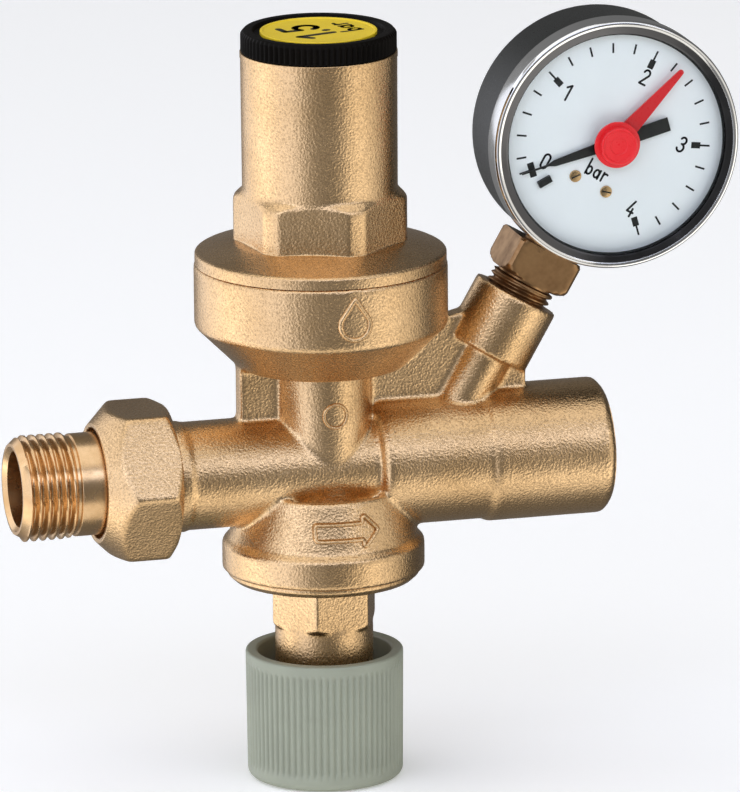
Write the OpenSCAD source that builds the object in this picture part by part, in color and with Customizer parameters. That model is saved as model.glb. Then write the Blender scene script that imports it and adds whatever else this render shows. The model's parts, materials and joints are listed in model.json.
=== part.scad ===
// Pressure reducing valve for filling a heating system: union inlet, screwed outlet,
// spring-loaded diaphragm reducer, shut-off stem with knob, check valve and pressure gauge.
// Millimetres. +Z is up, +X is the direction of flow, and the origin is the centre of the inlet end face.

/* [Overall] */
// Distance from the inlet end face to the vertical valve axis
valve_x = 63; // [62:0.5:66]
// Distance from the valve axis to the outlet end face
outlet_reach = 56.9; // [56:0.1:60]

/* [Inlet union] */
// Major diameter of the inlet pipe thread, G 1/2
inlet_thread_d = 20.955; // [20.955]
// Pitch of the inlet pipe thread
inlet_pitch = 1.814; // [1.814]
// Bore of the inlet tailpiece
tail_bore_d = 15; // [13:0.5:16]
// Width of the union nut across its flats
nut_af = 29; // [28.6:0.1:30]
// Diameter of the thread inside the union nut
union_thread_d = 25; // [24:0.5:25.5]

/* [Body] */
// Diameter of the diaphragm bowl
bowl_d = 50; // [49:0.5:52]
// Diameter of the forged inlet pipe
inlet_pipe_d = 21.4; // [21.3:0.1:22]
// Diameter of the forged outlet pipe between the body and the socket
outlet_pipe_d = 25.8; // [25:0.1:26.2]
// Diameter of the outlet socket
socket_d = 27; // [26.6:0.1:28]
// Core diameter of the outlet thread, Rp 1/2
outlet_core_d = 18.64; // [18.64]
// Diameter of the flange of the lower housing
lower_flange_d = 40; // [39.6:0.2:42]
// Thickness of the forged webs
web_t = 4.4; // [4:0.1:5]

/* [Bell housing and cap] */
// Diameter of the spring housing above its hexagon
bell_d = 30.8; // [30.4:0.1:31.2]
// Width of the bell's hexagon across its flats
bell_af = 31.2; // [31:0.1:32]
// Height of the bell's top edge above the pipe axis
bell_top = 84; // [83:0.5:86]
// Diameter of the cap
cap_d = 30.7; // [30:0.1:31]
// Number of grip ribs round the cap
cap_ribs = 80; // [60:2:90]

/* [Setting spring and reducer] */
// Pitch of the adjusting thread
adjust_pitch = 1.5; // [1:0.25:2]
// Lift of the obturator from open to closed
valve_lift = 1.9; // [1:0.1:2]
// Outer diameter of the setting spring
setting_spring_d = 22; // [20:0.5:23]
// Diameter of the setting spring's wire
setting_wire_d = 3; // [2:0.1:3.2]

/* [Shut-off] */
// Width of the plug's neck across its flats
neck_af = 19; // [18.6:0.1:19.4]
// Diameter of the knob at its rim
knob_d = 31.2; // [31:0.1:32]
// Number of grip flutes round the knob
knob_flutes = 72; // [48:4:72]

/* [Gauge] */
// Diameter of the gauge's bezel
bezel_d = 49.9; // [49.5:0.1:50]
// Tilt of the gauge's stem from the vertical
gauge_tilt = 30; // [29:0.5:31]
// Distance from the top of the gauge boss to the centre of the dial
gauge_reach = 35.9; // [35.9:0.1:37]
// Full-scale pressure on the dial, in bar
scale_max = 4; // [4]
// Sweep of the needle over the whole scale
scale_sweep = 270; // [270]
// Pressure at which the set pointer stands, in bar
set_pressure = 2.225; // [0.2:0.025:4]

/* [Hidden] */

$fn = 96;
eps = 0.01;
// Clearances: a part lying loose in a bore, and a sliding or turning fit
loose = 0.3;
fit = 0.05;

// Colours
brass = [0.80, 0.62, 0.38];
bright_brass = [0.86, 0.70, 0.42];
dark_brass = [0.42, 0.29, 0.18];
steel = [0.72, 0.73, 0.75];
rubber = [0.08, 0.08, 0.08];
black = [0.06, 0.06, 0.06];
acetal = [0.92, 0.92, 0.88];
sage = [0.62, 0.66, 0.60];
yellow = [0.93, 0.80, 0.13];
red = [0.80, 0.08, 0.10];
white = [0.95, 0.95, 0.95];

// Bowl and bell, as heights above the pipe axis
bowl_r = bowl_d / 2;
seam_z = 41.6;
bowl_edge_z = 29.3;
bowl_foot_z = 21;
bowl_foot_r = 16.6;
ledge_z = 33.5;
bowl_bore_r = 22;
chamber_r = 17.5;
flange_seat_z = 26.5;
sense_z = 28;

// Vertical bore of the body
cartridge_bore_r = 7;
partition_z = -8;
column_r = 9.3;
column_offset = 1.1;
column_foot_z = -9.8;
column_top_z = 25;
sense_hole_x = 11.5;
sense_hole_r = 0.9;

// Lower housing and its chamber
rim_z = -3.8;
rim_r = 15.5;
rim_band = 4;
rim_dip = 2.4;
shoulder_z = -14.2;
shoulder_r = 18.9;
flange_step_r = 19.4;
flange_top_z = -14.9;
lower_seam_z = -20.5;
chamber_top_z = -9.5;
lower_chamber_r = 14;
plug_bore_r = 16.5;
plug_bore_z = -13;

// Inlet
tail_r = inlet_thread_d / 2;
tail_thread_l = 10.6;
thread_depth = 1.0;
tail_chamfer = 0.45;
tail_plain_r = 10.15;
nut_front_x = -46.5;
nut_rear_x = -32;
nut_cone = 5;
nut_face_r = 11.8;
nut_hole_r = 10.9;
nut_web = 3;
tail_flange_t = 2.5;
gasket_t = 1.5;
gasket_x = nut_front_x + nut_web + fit + tail_flange_t;
spigot_x = gasket_x + gasket_t;
spigot_r = union_thread_d / 2;
union_pitch = 1.5;
collar_x = -31.5;
inlet_bore_r = 6;
inlet_drop_r = 4;
inlet_turn_x = -19;
inlet_drop_end = [-12.5, -11];

// Outlet
outlet_step_x = 9.5;
socket_x = 32.8;
socket_edge = 1.2;
outlet_bore_r = 6;
check_x = 14;
check_bore_r = 8;
check_bore_end = 34;
outlet_cone_end = 37;
outlet_thread_l = 15;
outlet_core_r = outlet_core_d / 2;
outlet_depth = 0.9;

// Gauge boss
boss_top = [40, 31.9];
boss_r = 8.7;
boss_l = 12.7;
boss_bore_r = 6.62;
boss_bore_l = 10.5;
boss_stalk_r = 5.4;
boss_stalk_l = 27;
gauge_hole_r = 1.5;
gauge_hole_l = 28;

// Bell
bell_r = bell_d / 2;
bell_flange_r = 24.8;
bell_flange_z = 44;
bell_foot_r = 17;
hex_foot_z = 46;
hex_top_z = 55.8;
hex_turned_r = 17.1;
hex_angle = 10;
skirt_z = 36.5;
skirt_in_r = 17.6;
skirt_cone_z = 43;
bell_cone_z = 47;
bell_bore_r = 13;
adjust_bore_z = 63.5;
adjust_bore_r = 13.4;
cap_bore_z = 79;
cap_bore_r = 13.6;
lip_h = 1.2;
lip_r = bell_r + 0.1;

// Cap
cap_r = cap_d / 2;
cap_top = bell_top + 4.2;
cap_plate = 1.9;
cap_groove_d = 0.8;
cap_groove_r = 13;
cap_label_r = 11.5;
spigot_len = 4;
cap_spigot_r = cap_bore_r - loose;
cap_spigot_in = 12;
rib_h = 0.35;

// Diaphragm, its plates and the setting spring
diaphragm_t = 1.5;
bead_in_r = 19;
bead_h = 2.5;
diaphragm_r = bowl_bore_r - fit;
spindle_r = 1.6;
washer_r = 14;
washer_t = 1.5;
plate_r = 15.5;
plate_t = 2.5;
nut_small_af = 8;
nut_small_t = 3;
plate_z = ledge_z + diaphragm_t;
spring_foot_z = plate_z + plate_t;
upper_plate_z = 66;
upper_plate_r = 12.6;
upper_plate_t = 2;
pip_r = 3;
plug_z = 69;
plug_h = 5;
plug_r = adjust_bore_r - fit;
slot_w = 2;
slot_l = 18;
slot_depth = 2.2;
stop_z = 77.6;
stop_t = 1.2;
stop_r = 14.1;
stop_in_r = 12.2;
setting_turns = 5.5;

// Reducing cartridge, with the obturator under its seat
cart_r = cartridge_bore_r - 0.1;
cart_flange_r = 8.9;
cart_bottom_z = -16;
cup_floor_z = -14.8;
cup_r = 5.7;
cup_hole_r = 3.8;
seat_r = 4.2;
seat_top_z = -5.5;
window_top_z = 7;
window_r = 5.6;
window_w = 6;
guide_r = 4.55;
guide_top_z = 22;
stem_hole_r = spindle_r + 0.08;
oring_z = [18, -6.9];
oring_w = 1.6;
oring_depth = 1.2;
piston_z = 9;
piston_h = 4;
piston_r = guide_r - 0.1;
piston_groove_r = 3.7;
spindle_bottom_z = -14;
spindle_top_z = 41.2;
spindle_shoulder_z = 29;
spindle_shoulder_r = 2.8;
seal_top_z = partition_z - valve_lift - fit;
seal_t = 1.2;
seal_r = 5.1;
obturator_t = 1.4;
obturator_r = 5.3;
obturator_z = seal_top_z - seal_t - obturator_t;

// Strainer
strainer_r = 8.7;
strainer_t = 0.4;
strainer_slots = 10;
strainer_slot_w = 2;

// Bottom plug, shut-off and knob
plug_flange_r = 19;
plug_flange_z = -22.3;
plug_floor_z = -19;
plug_male_r = plug_bore_r - 0.1;
plug_hollow_r = 13;
recess_r = 7;
recess_z = -24.3;
neck_hex_z = -31.7;
neck_r = 9.7;
neck_end_z = -45;
neck_angle = -22.5;
stem_r = 4;
stem_top_z = -23.5;
disc_t = 2;
disc_r = 6.5;
shut_washer_t = 1.5;
shut_washer_r = 5.6;
stem_square = 5.6;
stem_square_z = -46;
stem_end_z = -58;
stem_oring_z = [-35, -38.5];
stem_groove_r = 3.2;
stem_groove_w = 1.3;
knob_r = knob_d / 2;
knob_bottom_r = 15.4;
knob_rim_z = -37.2;
knob_bottom_z = -62.9;
knob_wall = 2.4;
knob_floor = 3;
knob_edge = 2.6;
knob_hub_r = 5.4;
knob_hub_z = -50;
flute_depth = 0.45;
flute_top_z = -39.2;
flute_bottom_z = -59.8;
screw_head_r = 3.5;
screw_head_h = 1.6;
screw_r = 1.5;
screw_tip_z = -54;

// Check valve, as distances from the valve axis along the outlet
check_r = check_bore_r - 0.1;
check_l = 9.5;
check_seat_t = 1.5;
check_seat_r = 4.5;
check_in_r = 6.6;
spider_t = 2;
spider_w = 2;
spider_hub_r = 2;
check_disc_r = 5.6;
check_disc_t = 1.5;
check_pin_r = 1;
retainer_t = 1.2;
retainer_r = 8.5;
retainer_in_r = 6.8;

// Gauge, in its own frame: origin at the dial's centre, +Z up its stem, face towards -Y
gauge_thread_r = 6.58;
gauge_pitch = 1.337;
boss_z = -gauge_reach;
square_z = -32.4;
square_top_z = -25;
square_af = 14;
shank_r = 4;
shank_top_z = -16;
block_w = 9;
block_top_z = -8;
block_foot_z = -22;
block_front_y = -0.2;
block_back_y = 5;
socket_hole_r = 1.5;
case_r = 24.25;
case_wall = 1;
case_front_y = -7.9;
case_back_y = 10.5;
case_edge = 1.5;
bezel_r = bezel_d / 2;
bezel_front_y = -10.1;
bezel_rear_y = -4.2;
bezel_lip = 0.5;
bezel_lip_r = 22.3;
bezel_edge = 0.5;
window_t = 0.8;
window_y = bezel_front_y + bezel_lip;
glass_r = 24.2;
gasket_y = window_y + window_t;
dial_r = 23.1;
dial_y = -7;
dial_t = 0.5;
dial_hole_r = 1.2;
dial_screw_r = 1.2;
screw_shank_r = 0.6;
dial_screw_x = 3.6;
dial_screw_z = -9.4;
needle_y = -7.9;
needle_t = 0.3;
needle_l = 19.6;
needle_w = 2.3;
needle_tail_l = 10.5;
needle_tail_w = 2.7;
needle_hub_r = 1.9;
stop_angle = 5.5;
stop_reach = 14.5;
stop_pin_r = 0.45;
arbor_r = 0.6;
set_y = -8.6;
set_t = 0.3;
set_l = 19.6;
set_w = 3.5;
set_root_l = 3;
set_tip_w = 1.1;
set_shaft_r = 0.9;
set_flange_r = 4.64;
set_knob_r = 3.7;
set_knob_y = -11.5;
set_flange_y = -10;

// Gauge movement
sector_ratio = 6;
gear_module = 0.3;
pinion_teeth = 10;
pinion_r = pinion_teeth * gear_module / 2;
sector_r = pinion_r * sector_ratio;
sector_pivot_z = -(pinion_r + sector_r);
sector_rest = 21;
sector_teeth = 5;
gear_backlash = 0.33;
addendum = 0.24;
dedendum = 0.34;
gear_y = -3.6;
gear_t = 0.8;
lever_l = 5;
lever_angle = -22.5;
link_y = -2.2;
link_t = 0.5;
front_plate_y = -6;
back_plate_y = -1;
movement_t = 0.8;
plate_w = 15;
plate_foot_z = -13.6;
plate_top_z = 4;
lever_slot_x = 2.5;
tube_r = 17;
tube_y = 2;
tube_w = 6;
tube_t = 2.2;
tube_start = -100;
tube_sweep = 250;
tip_angle = tube_start - tube_sweep + 360;
zero_angle = -scale_sweep / 2;

// ---------------------------------------------------------------- helpers

// Places children on the vertical valve axis
module at_valve() {
    translate([valve_x, 0, 0]) children();
}

// Turns +Z to +X at a distance along the pipe
module lying(x) {
    translate([x, 0, 0]) rotate([0, 90, 0]) children();
}

// Turns +Z to +X at a distance from the valve axis
module along_x(x) {
    lying(valve_x + x) children();
}

// A cylinder between two heights
module rod(r, z0, z1) {
    translate([0, 0, z0]) cylinder(r = r, h = z1 - z0);
}

// A ring between two heights
module ring(r_out, r_in, z0, z1) {
    difference() {
        rod(r_out, z0, z1);
        rod(r_in, z0 - 1, z1 + 1);
    }
}

// A truncated cone between two heights
module taper(r0, r1, z0, z1) {
    translate([0, 0, z0]) cylinder(r1 = r0, r2 = r1, h = z1 - z0);
}

// A square bar between two heights
module square_rod(side, z0, z1) {
    translate([-side / 2, -side / 2, z0]) cube([side, side, z1 - z0]);
}

// A hexagonal prism between two heights
module hexagon(af, z0, z1) {
    translate([0, 0, z0]) rotate([0, 0, 30]) cylinder(r = af / sqrt(3), h = z1 - z0, $fn = 6);
}

// A ring of round section, such as an O-ring
module torus(r, section_r, z) {
    translate([0, 0, z]) rotate_extrude() translate([r, 0]) circle(r = section_r, $fn = 32);
}

// Grooves for a thread, as rings of trapezoidal section: root is cut into the wall
function groove(r, root, z, pitch) =
    [[r, z], [root, z + pitch * 0.35], [root, z + pitch * 0.5], [r, z + pitch * 0.85]];

// A solid male thread with flat crests, from z = 0 to length
module male_thread(r, depth, length, pitch) {
    turns = floor(length / pitch);
    start = (length - turns * pitch) / 2;
    points = [for (i = [0 : turns - 1]) each groove(r, r - depth, start + i * pitch, pitch)];
    rotate_extrude() polygon(concat([[0, 0], [r, 0]], points, [[r, length], [0, length]]));
}

// Spring wire wound about Z from z0 to z1, closed at both ends by its own wire's thickness
function coil_point(r, z0, z1, turns, t) =
    [r * cos(360 * turns * t), r * sin(360 * turns * t), z0 + (z1 - z0) * t];
function coil_ring(r, wire, z0, z1, turns, t, sides) = [for (k = [0 : sides - 1])
    let(a = 360 * k / sides, c = coil_point(r, z0, z1, turns, t), out = 360 * turns * t)
        [c[0] + wire * cos(a) * cos(out), c[1] + wire * cos(a) * sin(out), c[2] + wire * sin(a)]];

module coil(r, wire, z0, z1, turns, steps, sides = 8) {
    n = ceil(turns * steps);
    points = [for (i = [0 : n]) each coil_ring(r, wire, z0 + wire, z1 - wire, turns, i / n, sides)];
    sides_faces = [for (i = [0 : n - 1]) for (k = [0 : sides - 1])
        [i * sides + k, i * sides + (k + 1) % sides, (i + 1) * sides + (k + 1) % sides, (i + 1) * sides + k]];
    first_end = [for (k = [sides - 1 : -1 : 0]) k];
    last_end = [for (k = [0 : sides - 1]) n * sides + k];
    polyhedron(points = points, faces = concat(sides_faces, [first_end, last_end]), convexity = 10);
}

// Outline with small teeth round a circle, for grips
function toothed(r, depth, count) = [for (i = [0 : 2 * count - 1])
    let(rr = i % 2 == 0 ? r : r - depth) [rr * cos(180 * i / count), rr * sin(180 * i / count)]];

// Places children in the gauge's frame
module at_gauge() {
    translate([valve_x + boss_top[0], 0, boss_top[1]]) rotate([0, gauge_tilt, 0])
        translate([0, 0, gauge_reach]) children();
}

// Turns +Z to +Y: a cylinder between two depths of the gauge
module depth_rod(r, y0, y1) {
    translate([0, y0, 0]) rotate([-90, 0, 0]) cylinder(r = r, h = y1 - y0);
}

// A flat outline seen from the gauge's front, between two depths
module depth_plate(y0, y1) {
    translate([0, y1, 0]) rotate([90, 0, 0]) linear_extrude(y1 - y0) children();
}

// ---------------------------------------------------------------- forged body

module bowl_shape(grow) {
    rotate_extrude() polygon([[0, bowl_foot_z], [bowl_foot_r, bowl_foot_z],
        [bowl_r + grow, bowl_edge_z - grow / 2], [bowl_r + grow, seam_z], [0, seam_z]]);
}

module column_shape(grow) {
    for (side = [-1, 1]) translate([0, side * column_offset, 0])
        rod(column_r + grow, column_foot_z, column_top_z);
    translate([-column_r - grow, -column_offset, column_foot_z])
        cube([2 * (column_r + grow), 2 * column_offset, column_top_z - column_foot_z]);
}

module lower_shape(grow) {
    rotate_extrude() polygon([[0, rim_z - rim_dip], [rim_r - rim_band, rim_z - rim_dip],
        [rim_r - rim_band * 0.3, rim_z], [rim_r + grow, rim_z], [shoulder_r + grow, shoulder_z],
        [flange_step_r + grow, shoulder_z], [lower_flange_d / 2 + grow, flange_top_z],
        [lower_flange_d / 2 + grow, lower_seam_z],
        [0, lower_seam_z]]);
}

// Outline of the flow arrow, pointing along +X
module arrow_outline(length, head, shaft) {
    neck = length / 2 - head / 2;
    polygon([[-length / 2, shaft / 2], [neck, shaft / 2], [neck, head / 2], [length / 2, 0],
        [neck, -head / 2], [neck, -shaft / 2], [-length / 2, -shaft / 2]]);
}

// A hollow outline standing out of the front of a shape given as the first child
module front_mark(x, z, reach) {
    intersection() {
        children(0);
        translate([x, 0, z]) rotate([90, 0, 0]) linear_extrude(reach) children(1);
    }
}

module drop_outline(r) {
    circle(r = r, $fn = 40);
    polygon([[-r * 0.86, r * 0.5], [r * 0.86, r * 0.5], [0, r * 2.1]]);
}

module boss_frame() {
    translate([boss_top[0], 0, boss_top[1]]) rotate([0, gauge_tilt, 0]) children();
}

module body_outside() {
    bowl_shape(0);
    column_shape(0);
    lower_shape(0);
    // inlet pipe with its machined collar and union thread
    lying(collar_x) rod(inlet_pipe_d / 2, 0, outlet_step_x + 2 - collar_x);
    for (i = [0, 1]) lying(collar_x + i * 1.5) rod(inlet_pipe_d / 2 + 0.35, 0, 1);
    lying(spigot_x) male_thread(spigot_r, 0.8, nut_rear_x - spigot_x - 0.6, union_pitch);
    lying(nut_rear_x - 0.8) rod(inlet_pipe_d / 2 - 0.6, 0, 3);
    // outlet pipe, parting ring and socket
    rotate([0, 90, 0]) rotate_extrude() polygon([[0, outlet_step_x], [outlet_pipe_d / 2 - 1, outlet_step_x],
        [outlet_pipe_d / 2, outlet_step_x + 1], [outlet_pipe_d / 2, socket_x - 1],
        [socket_d / 2, socket_x - 0.2], [socket_d / 2, outlet_reach - socket_edge],
        [socket_d / 2 - socket_edge, outlet_reach], [0, outlet_reach]]);
    // webs in the plane of both axes
    translate([0, web_t / 2, 0]) rotate([90, 0, 0]) linear_extrude(web_t) {
        polygon([[-17.1, 8], [-8, 8], [-8, bowl_foot_z + 2], [-17.1, bowl_foot_z + 2]]);
        polygon([[8, 10], [41.2, 10], [41.2, 17], [30, 30], [25.5, 28.9], [8, 24]]);
    }
    // gauge boss with the stalk under it
    boss_frame() rod(boss_r, -boss_l, 0);
    boss_frame() rod(boss_stalk_r, -boss_stalk_l, -boss_l + 1);
}

module body_marks() {
    front_mark(0.4, -9.3, lower_flange_d) {
        lower_shape(0.5);
        difference() {
            arrow_outline(13, 6.6, 3.4);
            arrow_outline(10.2, 3.6, 1.8);
        }
    }
    front_mark(0.2, 34.6, bowl_d) {
        bowl_shape(0.5);
        difference() {
            drop_outline(3.3);
            drop_outline(2.4);
        }
    }
    front_mark(0, 12.5, bowl_d) {
        column_shape(0.35);
        difference() {
            circle(r = 2.45, $fn = 40);
            circle(r = 1.9, $fn = 40);
        }
    }
}

module body_cavities() {
    // diaphragm bore, sensing chamber and cartridge bore
    rod(bowl_bore_r, ledge_z, seam_z + 1);
    rod(chamber_r, sense_z, ledge_z + 1);
    rod(cart_flange_r + 0.1, flange_seat_z, sense_z + 1);
    rod(cartridge_bore_r, partition_z, flange_seat_z + 1);
    translate([sense_hole_x, 0, 0]) rod(sense_hole_r, 3, sense_z + 1);
    // inlet bore, dropping to the lower chamber
    lying(spigot_x - 1) rod(inlet_bore_r, 0, inlet_turn_x - spigot_x + 2);
    drop = [inlet_drop_end[0] - inlet_turn_x, inlet_drop_end[1]];
    translate([inlet_turn_x, 0, 0]) rotate([0, 90 - atan2(drop[1], drop[0]), 0])
        rod(inlet_drop_r, 0, norm(drop));
    rod(lower_chamber_r, plug_bore_z - 1, chamber_top_z);
    rod(plug_bore_r, lower_seam_z - 1, plug_bore_z);
    rod(cartridge_bore_r, chamber_top_z - 1, partition_z + 1);
    // outlet bore, check valve bore and threaded socket
    rotate([0, 90, 0]) rod(outlet_bore_r, 3, check_x + 1);
    rotate([0, 90, 0]) rod(check_bore_r, check_x, check_bore_end + 1);
    rotate([0, 90, 0]) rod(retainer_r + 0.1, check_x + check_l, check_x + check_l + retainer_t);
    rotate([0, 90, 0]) taper(check_bore_r, outlet_core_r, check_bore_end, outlet_cone_end);
    rotate([0, 90, 0]) rod(outlet_core_r, outlet_cone_end - eps, outlet_reach + 1);
    lying(outlet_reach - outlet_thread_l)
        male_thread(outlet_core_r, -outlet_depth, outlet_thread_l - 1, inlet_pitch);
    rotate([0, 90, 0]) taper(outlet_core_r, outlet_core_r + 1.5, outlet_reach - 1.2, outlet_reach + 0.3);
    // gauge bore and its passage down to the outlet
    boss_frame() rod(boss_bore_r, -boss_bore_l, 1);
    boss_frame() rod(gauge_hole_r, -gauge_hole_l, -boss_bore_l + 1);
}

module valve_body() {
    color(brass) at_valve() difference() {
        union() {
            body_outside();
            body_marks();
        }
        body_cavities();
    }
}

// ---------------------------------------------------------------- inlet union

module inlet_tailpiece() {
    flange_x = nut_front_x + nut_web + fit;
    color(bright_brass) difference() {
        union() {
            rotate([0, 90, 0]) male_thread(tail_r, thread_depth, tail_thread_l, inlet_pitch);
            rotate([0, 90, 0]) rod(tail_plain_r, tail_thread_l - 1, valve_x + flange_x + 1);
            along_x(flange_x) rod(spigot_r - 0.25, 0, tail_flange_t);
        }
        rotate([0, 90, 0]) rod(tail_bore_d / 2, -1, valve_x + gasket_x + 1);
        rotate([0, 90, 0]) taper(tail_bore_d / 2 + 0.8, tail_bore_d / 2 - 0.2, -0.2, 0.8);
        rotate([0, 90, 0]) difference() {
            rod(tail_r + 1, -1, 1);
            taper(tail_r - tail_chamfer - 1, tail_r + 1, -1, tail_chamfer + 1);
        }
    }
}

module union_gasket() {
    color(rubber) along_x(gasket_x) ring(spigot_r - 0.5, tail_bore_d / 2 + 0.3, 0, gasket_t);
}

module union_nut() {
    nut_l = nut_rear_x - nut_front_x;
    nut_corner_r = nut_af / sqrt(3);
    color(brass) along_x(nut_front_x) difference() {
        intersection() {
            hexagon(nut_af, 0, nut_l);
            rotate_extrude() polygon([[0, 0], [nut_face_r, 0], [nut_corner_r, nut_cone],
                [nut_corner_r, nut_l - 1.6], [nut_corner_r - 2, nut_l], [0, nut_l]]);
        }
        rod(nut_hole_r, -1, nut_web + 1);
        rod(spigot_r + fit, nut_web, nut_l + 1);
    }
}

// ---------------------------------------------------------------- bell housing

module bell_outside() {
    rotate_extrude() polygon([[0, skirt_z], [bowl_bore_r - fit, skirt_z], [bowl_bore_r - fit, seam_z],
        [bell_flange_r, seam_z], [bell_flange_r, bell_flange_z - 0.4], [bell_flange_r - 0.5, bell_flange_z],
        [bell_foot_r, hex_foot_z], [bell_r - 0.6, hex_foot_z], [bell_r - 0.1, hex_top_z + 1],
        [bell_r, bell_top - lip_h], [lip_r, bell_top - lip_h], [lip_r, bell_top], [0, bell_top]]);
    intersection() {
        rotate([0, 0, hex_angle]) hexagon(bell_af, hex_foot_z - 1, hex_top_z);
        rod(hex_turned_r, hex_foot_z - 1, hex_top_z);
        taper(hex_turned_r + 10, hex_turned_r - 1.2, hex_foot_z - 1, hex_top_z + 0.6);
    }
}

module bell_housing() {
    color(brass) at_valve() difference() {
        bell_outside();
        rod(skirt_in_r, skirt_z - 1, skirt_cone_z);
        taper(skirt_in_r, bell_bore_r, skirt_cone_z, bell_cone_z);
        rod(bell_bore_r, bell_cone_z - eps, adjust_bore_z + 1);
        rod(adjust_bore_r, adjust_bore_z, cap_bore_z + 1);
        rod(cap_bore_r, cap_bore_z, bell_top + 1);
        rod(stop_r + 0.1, stop_z, stop_z + stop_t);
    }
}

module slip_ring() {
    color(steel) at_valve() ring(bowl_bore_r - fit, skirt_in_r, ledge_z + bead_h, skirt_z);
}

module diaphragm() {
    color(rubber) at_valve() {
        ring(diaphragm_r, bead_in_r, ledge_z, ledge_z + bead_h);
        ring(bead_in_r + 0.1, spindle_r + fit, ledge_z, ledge_z + diaphragm_t);
    }
}

module diaphragm_washer() {
    color(bright_brass) at_valve() ring(washer_r, spindle_r + fit, ledge_z - washer_t, ledge_z);
}

module lower_spring_plate() {
    color(steel) at_valve() {
        ring(plate_r, spindle_r + fit, plate_z, plate_z + 1);
        ring(setting_spring_d / 2 + 1.6, spindle_r + fit, plate_z + 0.9, spring_foot_z);
    }
}

module diaphragm_nut() {
    color(steel) at_valve() difference() {
        hexagon(nut_small_af, spring_foot_z, spring_foot_z + nut_small_t);
        rod(spindle_r + fit, spring_foot_z - 1, spring_foot_z + nut_small_t + 1);
    }
}

module setting_spring() {
    coil_r = (setting_spring_d - setting_wire_d) / 2;
    color(steel) at_valve() coil(coil_r, setting_wire_d / 2, spring_foot_z, upper_plate_z, setting_turns, 16);
}

module upper_spring_plate() {
    color(steel) at_valve() {
        rod(upper_plate_r, upper_plate_z, upper_plate_z + upper_plate_t);
        rod(pip_r, upper_plate_z + upper_plate_t - 0.5, plug_z);
    }
}

module adjusting_plug() {
    color(bright_brass) at_valve() difference() {
        translate([0, 0, plug_z]) male_thread(plug_r, 0.7, plug_h, adjust_pitch);
        translate([-slot_l / 2, -slot_w / 2, plug_z + plug_h - slot_depth])
            cube([slot_l, slot_w, slot_depth + 1]);
    }
}

module stop_ring() {
    color(steel) at_valve() difference() {
        ring(stop_r, stop_in_r, stop_z + fit, stop_z + stop_t - fit);
        translate([0, -2, stop_z - 1]) cube([stop_r + 1, 4, stop_t + 2]);
    }
}

// ---------------------------------------------------------------- cap

module cap() {
    color(black) at_valve() difference() {
        union() {
            translate([0, 0, bell_top + 0.3]) linear_extrude(cap_top - bell_top - 0.8)
                polygon(toothed(cap_r, rib_h, cap_ribs));
            rod(cap_r - rib_h - 0.1, bell_top, cap_top);
            rod(cap_spigot_r, bell_top - spigot_len, bell_top + 1);
        }
        rod(cap_spigot_in, bell_top - spigot_len - 1, cap_top - cap_plate);
        rod(cap_groove_r, cap_top - cap_groove_d, cap_top + 1);
    }
}

module cap_label() {
    color(yellow) at_valve() rod(cap_label_r, cap_top - cap_groove_d, cap_top + 0.1);
}

// ---------------------------------------------------------------- reducing cartridge

module cartridge() {
    color(acetal) at_valve() difference() {
        union() {
            rod(cart_r, cart_bottom_z, flange_seat_z + 0.5);
            rod(cart_flange_r, flange_seat_z, sense_z);
        }
        rod(cup_hole_r, cart_bottom_z - 1, cup_floor_z + 1);
        rod(cup_r, cup_floor_z, partition_z);
        rod(seat_r, partition_z - 1, seat_top_z + 1);
        rod(window_r, seat_top_z, window_top_z);
        rod(guide_r, window_top_z - 1, guide_top_z);
        rod(stem_hole_r, guide_top_z - 1, sense_z + 1);
        for (a = [45, 135]) rotate([0, 0, a]) translate([-cart_r - 1, -window_w / 2, seat_top_z + 1.5])
            cube([2 * cart_r + 2, window_w, window_top_z - seat_top_z - 3]);
        for (z = oring_z) ring(cart_r + 1, cart_r - oring_depth, z - oring_w / 2, z + oring_w / 2);
    }
}

module cartridge_orings() {
    section = (oring_depth + 0.05) / 2;
    color(rubber) at_valve() for (z = oring_z) torus(cart_r - oring_depth + section + 0.02, section, z);
}

module spindle() {
    color(bright_brass) at_valve() difference() {
        union() {
            rod(spindle_r, spindle_bottom_z, spindle_top_z);
            rod(piston_r, piston_z, piston_z + piston_h);
            rod(spindle_shoulder_r, spindle_shoulder_z, ledge_z - washer_t);
        }
        ring(piston_r + 1, piston_groove_r, piston_z + 1.3, piston_z + piston_h - 1.3);
    }
}

module piston_oring() {
    section = (piston_r - piston_groove_r) / 2;
    color(rubber) at_valve() torus(piston_groove_r + section, section, piston_z + piston_h / 2);
}

module obturator() {
    color(bright_brass) at_valve()
        ring(obturator_r, spindle_r + 0.02, obturator_z, obturator_z + obturator_t);
}

module obturator_seal() {
    color(rubber) at_valve() ring(seal_r, spindle_r + 0.02, seal_top_z - seal_t, seal_top_z);
}

module obturator_spring() {
    color(steel) at_valve() coil(4.5, 0.25, cup_floor_z, obturator_z, 3, 14, 6);
}

module strainer() {
    color(steel) at_valve() difference() {
        ring(strainer_r, strainer_r - strainer_t, plug_floor_z, chamber_top_z);
        for (i = [0 : strainer_slots / 2 - 1]) rotate([0, 0, 360 * i / strainer_slots])
            translate([-strainer_r - 1, -strainer_slot_w / 2, plug_floor_z + 1])
                cube([2 * strainer_r + 2, strainer_slot_w, chamber_top_z - plug_floor_z - 2]);
    }
}

// ---------------------------------------------------------------- bottom plug and shut-off

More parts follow.
